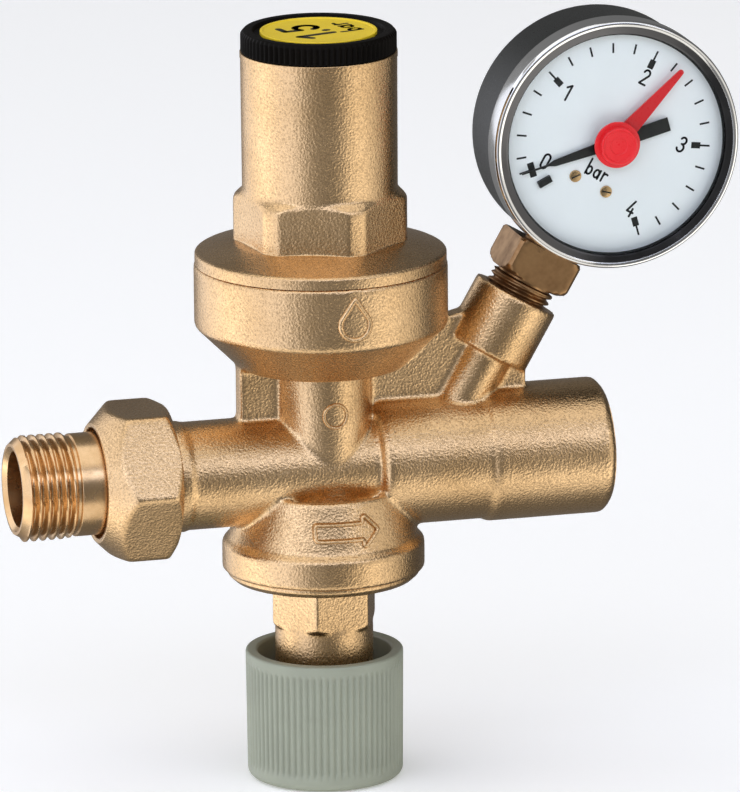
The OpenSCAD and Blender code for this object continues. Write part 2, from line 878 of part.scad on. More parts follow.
module bottom_plug() {
    color(brass) at_valve() difference() {
        union() {
            rod(plug_male_r, lower_seam_z - 1, plug_bore_z - 0.2);
            rotate_extrude() polygon([[0, plug_flange_z], [plug_flange_r - 1.2, plug_flange_z],
                [plug_flange_r, plug_flange_z + 0.9], [plug_flange_r, lower_seam_z], [0, lower_seam_z]]);
            rotate([0, 0, neck_angle]) hexagon(neck_af, neck_hex_z, plug_flange_z + 0.5);
            rod(neck_r, neck_end_z, neck_hex_z + 1);
        }
        rod(plug_hollow_r, plug_floor_z, plug_bore_z + 1);
        rod(recess_r, recess_z, plug_floor_z + 1);
        rod(stem_r + fit, neck_end_z - 1, recess_z + 1);
        ring(plug_male_r + 1, plug_male_r - oring_depth, plug_bore_z - 2.6, plug_bore_z - 1);
    }
}

module plug_oring() {
    section = (oring_depth + 0.05) / 2;
    color(rubber) at_valve() torus(plug_male_r - oring_depth + section + 0.02, section, plug_bore_z - 1.8);
}

module shutoff_disc() {
    color(bright_brass) at_valve() rod(disc_r, stem_top_z, stem_top_z + disc_t);
}

module shutoff_washer() {
    color(rubber) at_valve() rod(shut_washer_r, stem_top_z + disc_t, stem_top_z + disc_t + shut_washer_t);
}

module shutoff_stem() {
    color(bright_brass) at_valve() difference() {
        union() {
            rod(stem_r, stem_square_z, stem_top_z);
            square_rod(stem_square, stem_end_z, stem_square_z + 0.5);
        }
        for (z = stem_oring_z) ring(stem_r + 1, stem_groove_r, z - stem_groove_w / 2, z + stem_groove_w / 2);
        rod(screw_r + 0.02, stem_end_z - 1, screw_tip_z + 0.5);
    }
}

module stem_orings() {
    section = (stem_r - stem_groove_r) / 2;
    color(rubber) at_valve() for (z = stem_oring_z) torus(stem_groove_r + section, section, z);
}

module knob() {
    color(sage) at_valve() difference() {
        union() {
            rotate_extrude() polygon([[0, knob_bottom_z], [knob_bottom_r - knob_edge, knob_bottom_z],
                [knob_bottom_r - 0.9, knob_bottom_z + 0.8], [knob_bottom_r - 0.1, knob_bottom_z + knob_edge],
                [knob_bottom_r - flute_depth, flute_bottom_z], [knob_r - flute_depth, flute_top_z],
                [knob_r - 0.05, flute_top_z + 0.4], [knob_r, knob_rim_z], [0, knob_rim_z]]);
            translate([0, 0, flute_bottom_z - 0.3]) linear_extrude(flute_top_z - flute_bottom_z + 0.5)
                polygon(toothed(knob_bottom_r, flute_depth + 0.1, knob_flutes));
        }
        difference() {
            rod(knob_r - knob_wall, knob_bottom_z + knob_floor, knob_rim_z + 1);
            rod(knob_hub_r, knob_bottom_z, knob_hub_z);
        }
        square_rod(stem_square + fit, stem_end_z, knob_rim_z + 1);
        rod(screw_r + 0.1, knob_bottom_z - 1, stem_end_z + 1);
        rod(screw_head_r + 0.3, knob_bottom_z - 1, knob_bottom_z + screw_head_h + 0.4);
    }
}

module knob_screw() {
    color(steel) at_valve() difference() {
        union() {
            rod(screw_head_r, knob_bottom_z + 0.4, knob_bottom_z + screw_head_h + 0.4);
            rod(screw_r, knob_bottom_z + 1, screw_tip_z);
        }
        for (a = [0, 90]) rotate([0, 0, a]) translate([-2, -0.4, knob_bottom_z]) cube([4, 0.8, 1.2]);
    }
}

// ---------------------------------------------------------------- check valve

module check_valve_body() {
    color(acetal) along_x(check_x) {
        difference() {
            rod(check_r, 0, check_l);
            rod(check_seat_r, -1, check_seat_t + 1);
            rod(check_in_r, check_seat_t, check_l + 1);
        }
        difference() {
            union() {
                for (a = [0, 90]) rotate([0, 0, a])
                    translate([-check_in_r - 0.3, -spider_w / 2, check_l - spider_t])
                        cube([2 * check_in_r + 0.6, spider_w, spider_t]);
                rod(spider_hub_r, check_l - spider_t, check_l);
            }
            rod(check_pin_r + 0.08, check_l - spider_t - 1, check_l + 1);
        }
    }
}

module check_disc() {
    color(acetal) along_x(check_x + check_seat_t) {
        rod(check_disc_r, 0, check_disc_t);
        rod(check_pin_r, check_disc_t - 0.5, check_l - 1);
    }
}

module check_spring() {
    color(steel) along_x(check_x + check_seat_t + check_disc_t)
        coil(1.6, 0.2, 0, check_l - spider_t - check_seat_t - check_disc_t, 5, 12, 6);
}

module check_retainer() {
    color(steel) along_x(check_x + check_l) difference() {
        ring(retainer_r, retainer_in_r, fit, retainer_t - fit);
        translate([0, -2, -1]) cube([retainer_r + 1, 4, retainer_t + 2]);
    }
}

// ---------------------------------------------------------------- pressure gauge

module gauge_socket() {
    color(dark_brass) at_gauge() difference() {
        union() {
            translate([0, 0, boss_z - boss_bore_l + 0.5])
                male_thread(gauge_thread_r, 0.85, square_z - boss_z + boss_bore_l, gauge_pitch);
            square_rod(square_af, square_z, square_top_z);
            rod(shank_r, square_top_z - 1, shank_top_z);
            translate([-block_w / 2, block_front_y, block_foot_z])
                cube([block_w, block_back_y - block_front_y, block_top_z - block_foot_z]);
        }
        rod(socket_hole_r, boss_z - boss_bore_l - 1, shank_top_z - 1);
    }
}

module gauge_case() {
    color(black) at_gauge() difference() {
        rotate([-90, 0, 0]) rotate_extrude() polygon([[0, case_back_y], [case_r - case_edge, case_back_y],
            [case_r - case_edge / 4, case_back_y - case_edge / 3], [case_r, case_back_y - case_edge],
            [case_r, case_front_y], [0, case_front_y]]);
        depth_rod(case_r - case_wall, case_front_y - 1, case_back_y - case_wall);
        rod(shank_r + 0.1, -case_r - 2, -case_r + case_wall + 3);
    }
}

module gauge_bezel() {
    color(steel) at_gauge() rotate([-90, 0, 0]) rotate_extrude() polygon([
        [bezel_lip_r, bezel_front_y + 0.2], [bezel_lip_r + 0.6, bezel_front_y],
        [bezel_r - bezel_edge, bezel_front_y], [bezel_r, bezel_front_y + bezel_edge], [bezel_r, bezel_rear_y],
        [case_r + 0.02, bezel_rear_y], [case_r + 0.02, window_y], [bezel_lip_r, window_y]]);
}

module gauge_window() {
    color([0.85, 0.92, 0.95, 0.35]) at_gauge() difference() {
        depth_rod(glass_r, window_y, window_y + window_t);
        depth_rod(set_shaft_r + 0.06, window_y - 1, window_y + window_t + 1);
    }
}

module window_gasket() {
    color(rubber) at_gauge() difference() {
        depth_rod(glass_r, gasket_y, case_front_y);
        depth_rod(bezel_lip_r + 0.4, gasket_y - 1, case_front_y + 1);
    }
}

module dial() {
    color(white) at_gauge() difference() {
        depth_rod(dial_r, dial_y, dial_y + dial_t);
        depth_rod(dial_hole_r, dial_y - 1, dial_y + dial_t + 1);
        for (side = [-1, 1]) translate([side * dial_screw_x, 0, dial_screw_z])
            depth_rod(screw_shank_r + 0.1, dial_y - 1, dial_y + dial_t + 1);
    }
}

module dial_screws() {
    color(bright_brass) at_gauge() for (side = [-1, 1]) translate([side * dial_screw_x, 0, dial_screw_z]) {
        depth_rod(dial_screw_r, dial_y - 0.4, dial_y);
        depth_rod(screw_shank_r, dial_y - 0.1, front_plate_y);
    }
}

module stop_pin() {
    color(black) at_gauge() rotate([0, zero_angle - stop_angle, 0])
        translate([0, 0, stop_reach]) depth_rod(stop_pin_r, needle_y - 0.2, dial_y);
}

// A pointer's outline, pointing up: a tapered blade and a straight tail
module pointer_outline(length, width, tail_l, tail_w) {
    polygon([[-width / 2, 0], [-width * 0.28, length * 0.64], [-width * 0.1, length * 0.7],
        [-width * 0.06, length], [width * 0.06, length], [width * 0.1, length * 0.7],
        [width * 0.28, length * 0.64], [width / 2, 0]]);
    translate([-tail_w / 2, -tail_l]) square([tail_w, tail_l]);
}

module needle() {
    color(black) at_gauge() rotate([0, zero_angle, 0]) difference() {
        union() {
            depth_plate(needle_y, needle_y + needle_t)
                pointer_outline(needle_l, needle_w, needle_tail_l, needle_tail_w);
            depth_rod(needle_hub_r, needle_y - 0.1, dial_y - 0.4);
        }
        depth_rod(arbor_r, needle_y, dial_y);
    }
}

module gear_tooth(pitch_r, sign, width) {
    root = pitch_r - dedendum;
    tip = pitch_r + addendum;
    polygon([[-width * 0.7, sign * (root - 0.15)], [-width * 0.62, sign * root], [-width * 0.3, sign * tip],
        [width * 0.3, sign * tip], [width * 0.62, sign * root], [width * 0.7, sign * (root - 0.15)]]);
}

module pinion_arbor() {
    tooth_w = gear_backlash * PI * gear_module;
    color(steel) at_gauge() {
        depth_rod(arbor_r - 0.02, needle_y + 0.05, back_plate_y + movement_t);
        depth_plate(gear_y - 0.2, gear_y + gear_t + 0.2) {
            circle(r = pinion_r - dedendum);
            for (i = [0 : pinion_teeth - 1]) rotate([0, 0, 360 * i / pinion_teeth])
                gear_tooth(pinion_r, -1, tooth_w);
        }
    }
}

module sector_gear() {
    tooth_w = gear_backlash * PI * gear_module;
    tooth_step = 360 / (pinion_teeth * sector_ratio);
    color(bright_brass) at_gauge() translate([0, 0, sector_pivot_z]) {
        depth_rod(0.8, front_plate_y, back_plate_y + movement_t);
        depth_plate(gear_y, gear_y + gear_t) {
            rotate([0, 0, -sector_rest]) {
                for (i = [-sector_teeth : sector_teeth]) rotate([0, 0, i * tooth_step])
                    gear_tooth(sector_r, 1, tooth_w);
                intersection() {
                    difference() {
                        circle(r = sector_r - dedendum);
                        circle(r = sector_r - 2.2);
                    }
                    polygon(sector_r * [[0, 0], [-0.62, 1.05], [0.62, 1.05]]);
                }
                translate([-0.8, 0]) square([1.6, sector_r - 1.5]);
            }
            circle(r = 1.8, $fn = 32);
            rotate([0, 0, lever_angle]) translate([0, -0.7]) square([lever_l + 0.6, 1.4]);
        }
        rotate([0, -lever_angle, 0]) translate([lever_l, 0, 0])
            depth_rod(0.35, gear_y + 0.2, link_y + link_t + 0.15);
    }
}

module gauge_link() {
    foot = [lever_l * cos(lever_angle), sector_pivot_z + lever_l * sin(lever_angle)];
    tip = [tube_r * cos(tip_angle), tube_r * sin(tip_angle)];
    reach = tip - foot;
    color(bright_brass) at_gauge() depth_plate(link_y, link_y + link_t) difference() {
        translate(foot) rotate([0, 0, atan2(reach[1], reach[0])]) {
            circle(r = 0.9, $fn = 32);
            translate([0, -0.45]) square([norm(reach), 0.9]);
            translate([norm(reach), 0]) circle(r = 0.9, $fn = 32);
        }
        translate(foot) circle(r = 0.4, $fn = 32);
        translate(tip) circle(r = 0.5, $fn = 32);
    }
}

module movement_plates() {
    color(bright_brass) at_gauge() difference() {
        for (y = [front_plate_y, back_plate_y]) depth_plate(y, y + movement_t)
            translate([-plate_w / 2, plate_foot_z]) square([plate_w, plate_top_z - plate_foot_z]);
        depth_rod(arbor_r + 0.04, front_plate_y - 1, 1);
        translate([0, 0, sector_pivot_z]) depth_rod(0.85, front_plate_y - 1, 1);
        // slot that lets the link's pin swing
        translate([lever_slot_x, back_plate_y - 1, sector_pivot_z - 3]) cube([plate_w, 3, 7]);
    }
}

module movement_pillars() {
    color(bright_brass) at_gauge() for (p = [[-6, 2.6], [6, 2.6], [-6, -12.6]])
        translate([p[0], 0, p[1]]) depth_rod(0.9, front_plate_y + movement_t, back_plate_y);
}

function spiral(turns, steps, r0, r1, side) = [for (i = [0 : turns * steps])
    let(t = i / (turns * steps), r = r0 + (r1 - r0) * t + side)
        [r * cos(360 * turns * t), r * sin(360 * turns * t)]];

module hairspring() {
    inner = spiral(4, 24, 1.1, 4.4, -0.1);
    outer = spiral(4, 24, 1.1, 4.4, 0.1);
    count = len(outer);
    color(bright_brass) at_gauge() depth_plate(-4.9, -4.4)
        polygon(concat(inner, [for (i = [count - 1 : -1 : 0]) outer[i]]));
}

module bourdon_tube() {
    color(bright_brass) at_gauge() translate([0, tube_y, 0]) rotate([90, 0, 0]) rotate([0, 0, tip_angle])
        rotate_extrude(angle = tube_sweep) translate([tube_r, 0]) {
            square([tube_t, tube_w - tube_t], center = true);
            for (side = [-1, 1]) translate([0, side * (tube_w - tube_t) / 2])
                circle(r = tube_t / 2, $fn = 24);
        }
}

module bourdon_tip() {
    color(bright_brass) at_gauge() rotate([0, -tip_angle, 0]) {
        translate([tube_r - 1.4, -1.5, -3]) cube([2.8, 6.5, 3]);
    }
}

// The set pointer's own parts turn together: the blade inside the glass and the knob outside it
module set_pointer() {
    color(red) at_gauge() rotate([0, zero_angle + scale_sweep * set_pressure / scale_max, 0]) {
        depth_plate(set_y, set_y + set_t) difference() {
            polygon([[-set_w / 2, -set_w / 2], [-set_w / 2, set_root_l], [-set_tip_w / 2, set_l - 0.6],
                [0, set_l], [set_tip_w / 2, set_l - 0.6], [set_w / 2, set_root_l], [set_w / 2, -set_w / 2]]);
            circle(r = set_shaft_r);
        }
    }
}

module set_knob() {
    color(red) at_gauge() difference() {
        union() {
            depth_rod(set_flange_r, set_flange_y, window_y - 0.02);
            depth_rod(set_knob_r, set_knob_y, set_flange_y + 0.1);
            depth_rod(set_shaft_r, set_flange_y, set_y + set_t);
        }
        depth_rod(set_knob_r - 1.1, set_knob_y - 1, set_knob_y + 0.5);
    }
}

valve_body();
inlet_tailpiece();
union_gasket();
union_nut();
bell_housing();
slip_ring();
diaphragm();
diaphragm_washer();
lower_spring_plate();
diaphragm_nut();
setting_spring();
upper_spring_plate();
adjusting_plug();
stop_ring();
cap();
cap_label();
cartridge();
cartridge_orings();
spindle();
piston_oring();
obturator();
obturator_seal();
obturator_spring();
strainer();
bottom_plug();
plug_oring();
shutoff_disc();
shutoff_washer();
shutoff_stem();
stem_orings();
knob();
knob_screw();
check_valve_body();
check_disc();
check_spring();
check_retainer();
gauge_socket();
gauge_case();
gauge_bezel();
gauge_window();
window_gasket();
dial();
dial_screws();
stop_pin();
needle();
pinion_arbor();
hairspring();
sector_gear();
gauge_link();
movement_plates();
movement_pillars();
bourdon_tube();
bourdon_tip();
set_pointer();
set_knob();
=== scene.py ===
"""Looks of the pressure reducing valve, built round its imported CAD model.

Every measure is in millimetres in the row frame until a mesh is made, when it is turned into metres.
"""

import json
import math

import bmesh
import bpy
import numpy as np
from mathutils import Matrix, Vector


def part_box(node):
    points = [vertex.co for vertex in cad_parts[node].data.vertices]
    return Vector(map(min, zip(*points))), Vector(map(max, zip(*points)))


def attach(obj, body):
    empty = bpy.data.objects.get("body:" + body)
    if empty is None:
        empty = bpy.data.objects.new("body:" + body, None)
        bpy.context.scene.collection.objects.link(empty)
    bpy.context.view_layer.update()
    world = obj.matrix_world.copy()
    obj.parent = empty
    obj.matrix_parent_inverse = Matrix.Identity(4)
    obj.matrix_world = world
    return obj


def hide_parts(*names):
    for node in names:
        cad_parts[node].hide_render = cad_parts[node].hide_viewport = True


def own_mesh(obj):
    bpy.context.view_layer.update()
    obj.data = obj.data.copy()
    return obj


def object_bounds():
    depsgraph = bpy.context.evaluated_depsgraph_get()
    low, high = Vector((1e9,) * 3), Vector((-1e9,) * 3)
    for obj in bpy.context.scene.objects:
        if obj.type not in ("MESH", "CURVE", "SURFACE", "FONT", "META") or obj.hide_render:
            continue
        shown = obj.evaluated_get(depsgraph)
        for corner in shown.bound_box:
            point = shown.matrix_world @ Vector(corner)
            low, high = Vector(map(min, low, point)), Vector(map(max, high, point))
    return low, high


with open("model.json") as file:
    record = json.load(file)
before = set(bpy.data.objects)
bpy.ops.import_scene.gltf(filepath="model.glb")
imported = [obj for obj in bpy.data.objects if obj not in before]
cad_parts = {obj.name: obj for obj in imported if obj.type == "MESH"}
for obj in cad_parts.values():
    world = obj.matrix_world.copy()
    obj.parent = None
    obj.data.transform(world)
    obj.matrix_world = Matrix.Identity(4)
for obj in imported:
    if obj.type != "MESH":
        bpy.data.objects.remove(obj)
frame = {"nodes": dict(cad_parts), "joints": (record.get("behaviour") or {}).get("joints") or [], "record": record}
cad_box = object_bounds()

MM = 0.001
TURN = 2 * math.pi
# Vertices closer than this are one, in millimetres
WELD = 0.0005
# Height of a print above the surface it is on, in millimetres
PRINT = 0.03
# Pitch and depth of the G 1/2 thread at the inlet and the outlet, in millimetres
PIPE_PITCH = 1.814
PIPE_DEPTH = 1.16

# ---------------------------------------------------------------- places taken from the frame


def span(node):
    """A CAD node's lowest and highest corner, in millimetres."""
    low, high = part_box(node)
    return np.array(low) / MM, np.array(high) / MM


def joint_point(name):
    """A joint's position, in millimetres."""
    found = [j for j in frame["joints"] if j["name"] == name][0]
    return Vector(found["pos_m"]) / MM


cap_low, cap_high = span("cap")
bell_low, bell_high = span("bell_housing")
plug_low, plug_high = span("bottom_plug")
knob_low, knob_high = span("knob")
nut_low, nut_high = span("union_nut")
tail_end = span("inlet_tailpiece")[1][0]
outlet_end = span("valve_body")[1][0]
axis_x = (cap_low[0] + cap_high[0]) / 2
gauge_centre = joint_point("needle_turn")
stem = gauge_centre - joint_point("sector_turn")
gauge_tilt = math.atan2(stem.x, stem.z)

AT_VALVE = Matrix.Translation((axis_x, 0, 0))
TO_X = Matrix.Rotation(math.pi / 2, 4, "Y")
AT_GAUGE = Matrix.Translation(gauge_centre) @ Matrix.Rotation(gauge_tilt, 4, "Y")
# the gauge's turned pieces are drawn about Z with the face at the top, then laid to face -Y
FACE_ON = AT_GAUGE @ Matrix.Rotation(math.pi / 2, 4, "X")

# ---------------------------------------------------------------- materials


def shader(name, base, metallic=0.0, roughness=0.5, **sockets):
    """A Principled material; returns (material, tree, its shader node)."""
    mat = bpy.data.materials.new(name)
    mat.use_nodes = True
    bsdf = mat.node_tree.nodes["Principled BSDF"]
    bsdf.inputs["Base Color"].default_value = (*base, 1)
    bsdf.inputs["Metallic"].default_value = metallic
    bsdf.inputs["Roughness"].default_value = roughness
    for key, value in sockets.items():
        bsdf.inputs[key.replace("_", " ")].default_value = value
    return mat, mat.node_tree, bsdf


def coordinates(tree, scale=(1, 1, 1)):
    """Object coordinates stretched by scale: metres in the row frame."""
    source = tree.nodes.new("ShaderNodeTexCoord")
    mapping = tree.nodes.new("ShaderNodeMapping")
    mapping.inputs["Scale"].default_value = scale
    tree.links.new(source.outputs["Object"], mapping.inputs["Vector"])
    return mapping.outputs["Vector"]


def noise(tree, where, scale, detail, roughness):
    """Cloudy noise from 0 to 1."""
    node = tree.nodes.new("ShaderNodeTexNoise")
    node.inputs["Scale"].default_value = scale
    node.inputs["Detail"].default_value = detail
    node.inputs["Roughness"].default_value = roughness
    tree.links.new(where, node.inputs["Vector"])
    return node.outputs["Fac"]


def cells(tree, where, scale):
    """Smooth round grains: the distance to the nearest grain's centre."""
    node = tree.nodes.new("ShaderNodeTexVoronoi")
    node.feature = "SMOOTH_F1"
    node.inputs["Scale"].default_value = scale
    node.inputs["Smoothness"].default_value = 0.6
    tree.links.new(where, node.inputs["Vector"])
    return node.outputs["Distance"]


def ramp(tree, value, stops):
    """A colour ramp; stops are (position, colour) with a colour of three numbers or one grey."""
    node = tree.nodes.new("ShaderNodeValToRGB")
    bar = node.color_ramp
    while len(bar.elements) < len(stops):
        bar.elements.new(0.5)
    for element, (place, colour) in zip(bar.elements, stops):
        element.position = place
        element.color = (*colour, 1) if hasattr(colour, "__len__") else (colour,) * 3 + (1,)
    tree.links.new(value, node.inputs["Fac"])
    return node.outputs["Color"]


def mix(tree, share, a, b, blend="MIX"):
    """Two colours mixed; share, a and b are each a socket or a value."""
    node = tree.nodes.new("ShaderNodeMix")
    node.data_type = "RGBA"
    node.blend_type = blend
    for socket, value in ((0, share), (6, a), (7, b)):
        if isinstance(value, bpy.types.NodeSocket):
            tree.links.new(value, node.inputs[socket])
        else:
            node.inputs[socket].default_value = value
    return node.outputs[2]


def bump(tree, bsdf, layers):
    """Stacks bumps; layers are (height, distance in millimetres, strength)."""
    last = None
    for height, distance, strength in layers:
        node = tree.nodes.new("ShaderNodeBump")
        node.inputs["Distance"].default_value = distance * MM
        node.inputs["Strength"].default_value = strength
        tree.links.new(height, node.inputs["Height"])
        if last:
            tree.links.new(last, node.inputs["Normal"])
        last = node.outputs["Normal"]
    tree.links.new(last, bsdf.inputs["Normal"])


def forged_brass(name, light, dark, grain, depth):
    """Sand-textured forging: pebbles about half a millimetre across, with the colour darker in their hollows."""
    mat, tree, bsdf = shader(name, light, metallic=1.0, roughness=0.3)
    where = coordinates(tree)
    pebbles = noise(tree, where, grain, 2.5, 0.55)
    grains = cells(tree, where, grain * 0.8)
    cloud = noise(tree, where, 55, 3.0, 0.6)
    waves = noise(tree, where, 190, 2.0, 0.5)
    tone = ramp(tree, cloud, [(0.35, dark), (0.65, light)])
    # the colour darkens where the pebble noise is low, which is where the bump sinks
    pits = ramp(tree, pebbles, [(0.30, 0.62), (0.52, 1.0)])
    tree.links.new(mix(tree, 1.0, tone, pits, "MULTIPLY"), bsdf.inputs["Base Color"])
    rough = ramp(tree, pebbles, [(0.3, 0.36), (0.7, 0.20)])
    tree.links.new(rough, bsdf.inputs["Roughness"])
    bump(tree, bsdf, [(waves, 0.3, 0.08), (grains, 0.16, 0.3), (pebbles, 0.13, depth)])
    return mat


def machined_brass(name, light, dark, stretch, roughness):
    """Turned brass: fine tool marks along one direction and faint handling stains."""
    mat, tree, bsdf = shader(name, light, metallic=1.0, roughness=roughness)
    marks = noise(tree, coordinates(tree, stretch), 1.0, 2.0, 0.6)
    stain = noise(tree, coordinates(tree), 130, 4.0, 0.65)
    tree.links.new(ramp(tree, stain, [(0.38, dark), (0.62, light)]), bsdf.inputs["Base Color"])
    rough = ramp(tree, stain, [(0.3, roughness * 1.5), (0.7, roughness * 0.75)])
    tree.links.new(rough, bsdf.inputs["Roughness"])
    bump(tree, bsdf, [(marks, 0.02, 0.5)])
    return mat


def plastic(name, base, roughness, grain, depth, variation=0.12, **sockets):
    """Moulded plastic: a fine spark-eroded grain and slightly uneven colour."""
    mat, tree, bsdf = shader(name, base, roughness=roughness, **sockets)
    where = coordinates(tree)
    skin = noise(tree, where, grain, 3.0, 0.6)
    cloud = noise(tree, where, 90, 3.0, 0.55)
    dark = tuple(c * (1 - variation) for c in base)
    light = tuple(min(1.0, c * (1 + variation)) for c in base)
    tree.links.new(ramp(tree, cloud, [(0.35, dark), (0.65, light)]), bsdf.inputs["Base Color"])
    rough = ramp(tree, skin, [(0.3, min(1.0, roughness * 1.25)), (0.7, roughness * 0.85)])
    tree.links.new(rough, bsdf.inputs["Roughness"])
    bump(tree, bsdf, [(skin, depth, 0.4)])
    return mat


def plated(name, base, roughness):
    """Polished or plain metal with faint smears and hairlines."""
    mat, tree, bsdf = shader(name, base, metallic=1.0, roughness=roughness)
    where = coordinates(tree)
    smear = noise(tree, where, 160, 4.0, 0.6)
    hair = noise(tree, coordinates(tree, (4000, 4000, 250)), 1.0, 2.0, 0.5)
    rough = ramp(tree, smear, [(0.3, roughness * 0.7), (0.75, roughness * 1.8)])
    tone = ramp(tree, smear, [(0.3, tuple(c * 0.92 for c in base)), (0.7, base)])
    tree.links.new(rough, bsdf.inputs["Roughness"])
    tree.links.new(tone, bsdf.inputs["Base Color"])
    bump(tree, bsdf, [(hair, 0.004, 0.25)])
    return mat


def clear_glass(name):
    """Thin instrument glass: clear straight on, mirror-like at a slant."""
    mat = bpy.data.materials.new(name)
    mat.use_nodes = True
    tree = mat.node_tree
    tree.nodes.clear()
    out = tree.nodes.new("ShaderNodeOutputMaterial")
    blend = tree.nodes.new("ShaderNodeMixShader")
    clear = tree.nodes.new("ShaderNodeBsdfTransparent")
    clear.inputs["Color"].default_value = (0.97, 0.985, 0.98, 1)
    gloss = tree.nodes.new("ShaderNodeBsdfGlossy")
    gloss.inputs["Roughness"].default_value = 0.02
    edge = tree.nodes.new("ShaderNodeFresnel")
    edge.inputs["IOR"].default_value = 1.12
    haze = noise(tree, coordinates(tree), 220, 3.0, 0.6)
    smear = tree.nodes.new("ShaderNodeBump")
    smear.inputs["Distance"].default_value = 0.002 * MM
    smear.inputs["Strength"].default_value = 0.15
    tree.links.new(haze, smear.inputs["Height"])
    tree.links.new(smear.outputs["Normal"], gloss.inputs["Normal"])
    tree.links.new(edge.outputs["Fac"], blend.inputs["Fac"])
    tree.links.new(clear.outputs["BSDF"], blend.inputs[1])
    tree.links.new(gloss.outputs["BSDF"], blend.inputs[2])
    tree.links.new(blend.outputs["Shader"], out.inputs["Surface"])
    return mat


MATERIALS = {
    "forged_brass": forged_brass("forged_brass", (0.735, 0.50, 0.275), (0.64, 0.42, 0.215), 2500, 0.6),
    "machined_brass": machined_brass(
        "machined_brass", (0.74, 0.50, 0.28), (0.62, 0.39, 0.19), (9000, 500, 500), 0.24),
    "dark_brass": machined_brass(
        "dark_brass", (0.42, 0.25, 0.12), (0.20, 0.11, 0.05), (600, 600, 6000), 0.34),
    "cap_black": plastic(
        "cap_black", (0.0035, 0.0027, 0.002), 0.42, 2600, 0.03, Specular_IOR_Level=0.05),
    "label_yellow": plastic("label_yellow", (0.86, 0.62, 0.02), 0.32, 1800, 0.01, 0.04),
    "knob_sage": plastic("knob_sage", (0.285, 0.305, 0.235), 0.46, 2200, 0.03, 0.05),
    "case_black": plastic(
        "case_black", (0.010, 0.011, 0.010), 0.30, 2400, 0.02, 0.15, Specular_IOR_Level=0.3),
    "bezel_chrome": plated("bezel_chrome", (0.80, 0.80, 0.80), 0.07),
    "window_clear": clear_glass("window_clear"),
    "dial_white": plastic("dial_white", (0.92, 0.925, 0.925), 0.45, 2600, 0.004, 0.015),
    "needle_black": plastic("needle_black", (0.008, 0.008, 0.008), 0.42, 3000, 0.005, 0.2),
    "pointer_red": plastic("pointer_red", (0.72, 0.012, 0.018), 0.30, 2600, 0.006, 0.05),
    "rubber": plastic("rubber", (0.02, 0.02, 0.02), 0.65, 2400, 0.03),
    "steel": plated("steel", (0.62, 0.62, 0.63), 0.28),
    "acetal": plastic("acetal", (0.80, 0.80, 0.76), 0.42, 2000, 0.02, 0.03),
}
# chrome darkened to paint the reflected shade on the bezel's inner slope
PAINTED_SHADE_CHROME = plated("painted_shade_chrome", (0.10, 0.10, 0.105), 0.16)
INK = plastic("ink", (0.006, 0.006, 0.006), 0.5, 3000, 0.002, 0.1)

# ---------------------------------------------------------------- mesh tools


def placed(name, mesh, matrix):
    """An object of a mesh in millimetres, which it moves to its place, turns to metres and cleans."""
    mesh.transform(Matrix.Scale(MM, 4) @ matrix)
    made = bmesh.new()
    made.from_mesh(mesh)
    bmesh.ops.remove_doubles(made, verts=made.verts, dist=WELD * MM)
    bmesh.ops.dissolve_degenerate(made, edges=made.edges, dist=WELD / 5 * MM)
    bmesh.ops.recalc_face_normals(made, faces=made.faces)
    made.to_mesh(mesh)
    made.free()
    piece = bpy.data.objects.new(name, mesh)
    bpy.context.scene.collection.objects.link(piece)
    return piece


def add_piece(name, points, faces, body, slot, matrix, replaces=(), smooth=40, material=None):
    """Makes a mesh of points in millimetres, puts it in place and lets it ride on a CAD body."""
    mesh = bpy.data.meshes.new(name)
    mesh.from_pydata([tuple(p) for p in points], [], faces)
    return finish_piece(name, mesh, body, slot, matrix, replaces, smooth, material)


def finish_piece(name, mesh, body, slot, matrix=Matrix.Identity(4), replaces=(), smooth=40, material=None):
    """Puts a mesh in millimetres in place, shades it and lets it ride on a CAD body."""
    piece = placed(name, mesh, matrix)
    mesh.materials.append(material or MATERIALS[slot])
    mesh.shade_smooth()
    mesh.set_sharp_from_angle(angle=math.radians(smooth))
    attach(piece, body)
    if replaces:
        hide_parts(*replaces)
    return piece


def rounded(points, closed=True, steps=5):
    """Rounds the corners of an outline. Each point is (r, z) or (r, z, corner radius)."""
    made = []
    count = len(points)
    for i, point in enumerate(points):
        here = np.array(point[:2], float)
        radius = point[2] if len(point) > 2 else 0
        if not radius or (not closed and i in (0, count - 1)):
            made.append(tuple(here))
            continue
        before = np.array(points[i - 1][:2], float) - here
        after = np.array(points[(i + 1) % count][:2], float) - here
        into, out = before / np.linalg.norm(before), after / np.linalg.norm(after)
        half = math.acos(float(np.clip(into @ out, -1, 1))) / 2
        if half > math.radians(89):
            made.append(tuple(here))
            continue
        reach = min(radius / math.tan(half), np.linalg.norm(before) * 0.49, np.linalg.norm(after) * 0.49)
        centre = here + (into + out) / np.linalg.norm(into + out) * reach / math.cos(half)
        first, last = here + into * reach, here + out * reach
        arc = reach * math.tan(half)
        for k in range(steps + 1):
            way = first + (last - first) * k / steps - centre
            made.append(tuple(centre + way / np.linalg.norm(way) * arc))
    return made


def dense(points, step, closed=True):
    """Adds points along an outline so that none are further apart than step."""
    made = []
    for a, b in zip(points, points[1:] + points[:1] if closed else points[1:]):
        count = max(1, math.ceil(math.dist(a, b) / step))
        made += [(a[0] + (b[0] - a[0]) * k / count, a[1] + (b[1] - a[1]) * k / count) for k in range(count)]
    return made if closed else made + [points[-1]]


def grid_faces(rows, columns, closed_rows):
    """Faces of a grid that wraps round its columns, and round its rows too where it is a ring."""
    faces = []
    for i in range(rows if closed_rows else rows - 1):
        for k in range(columns):
            j, n = (i + 1) % rows, (k + 1) % columns
            faces.append((i * columns + k, i * columns + n, j * columns + n, j * columns + k))
    return faces


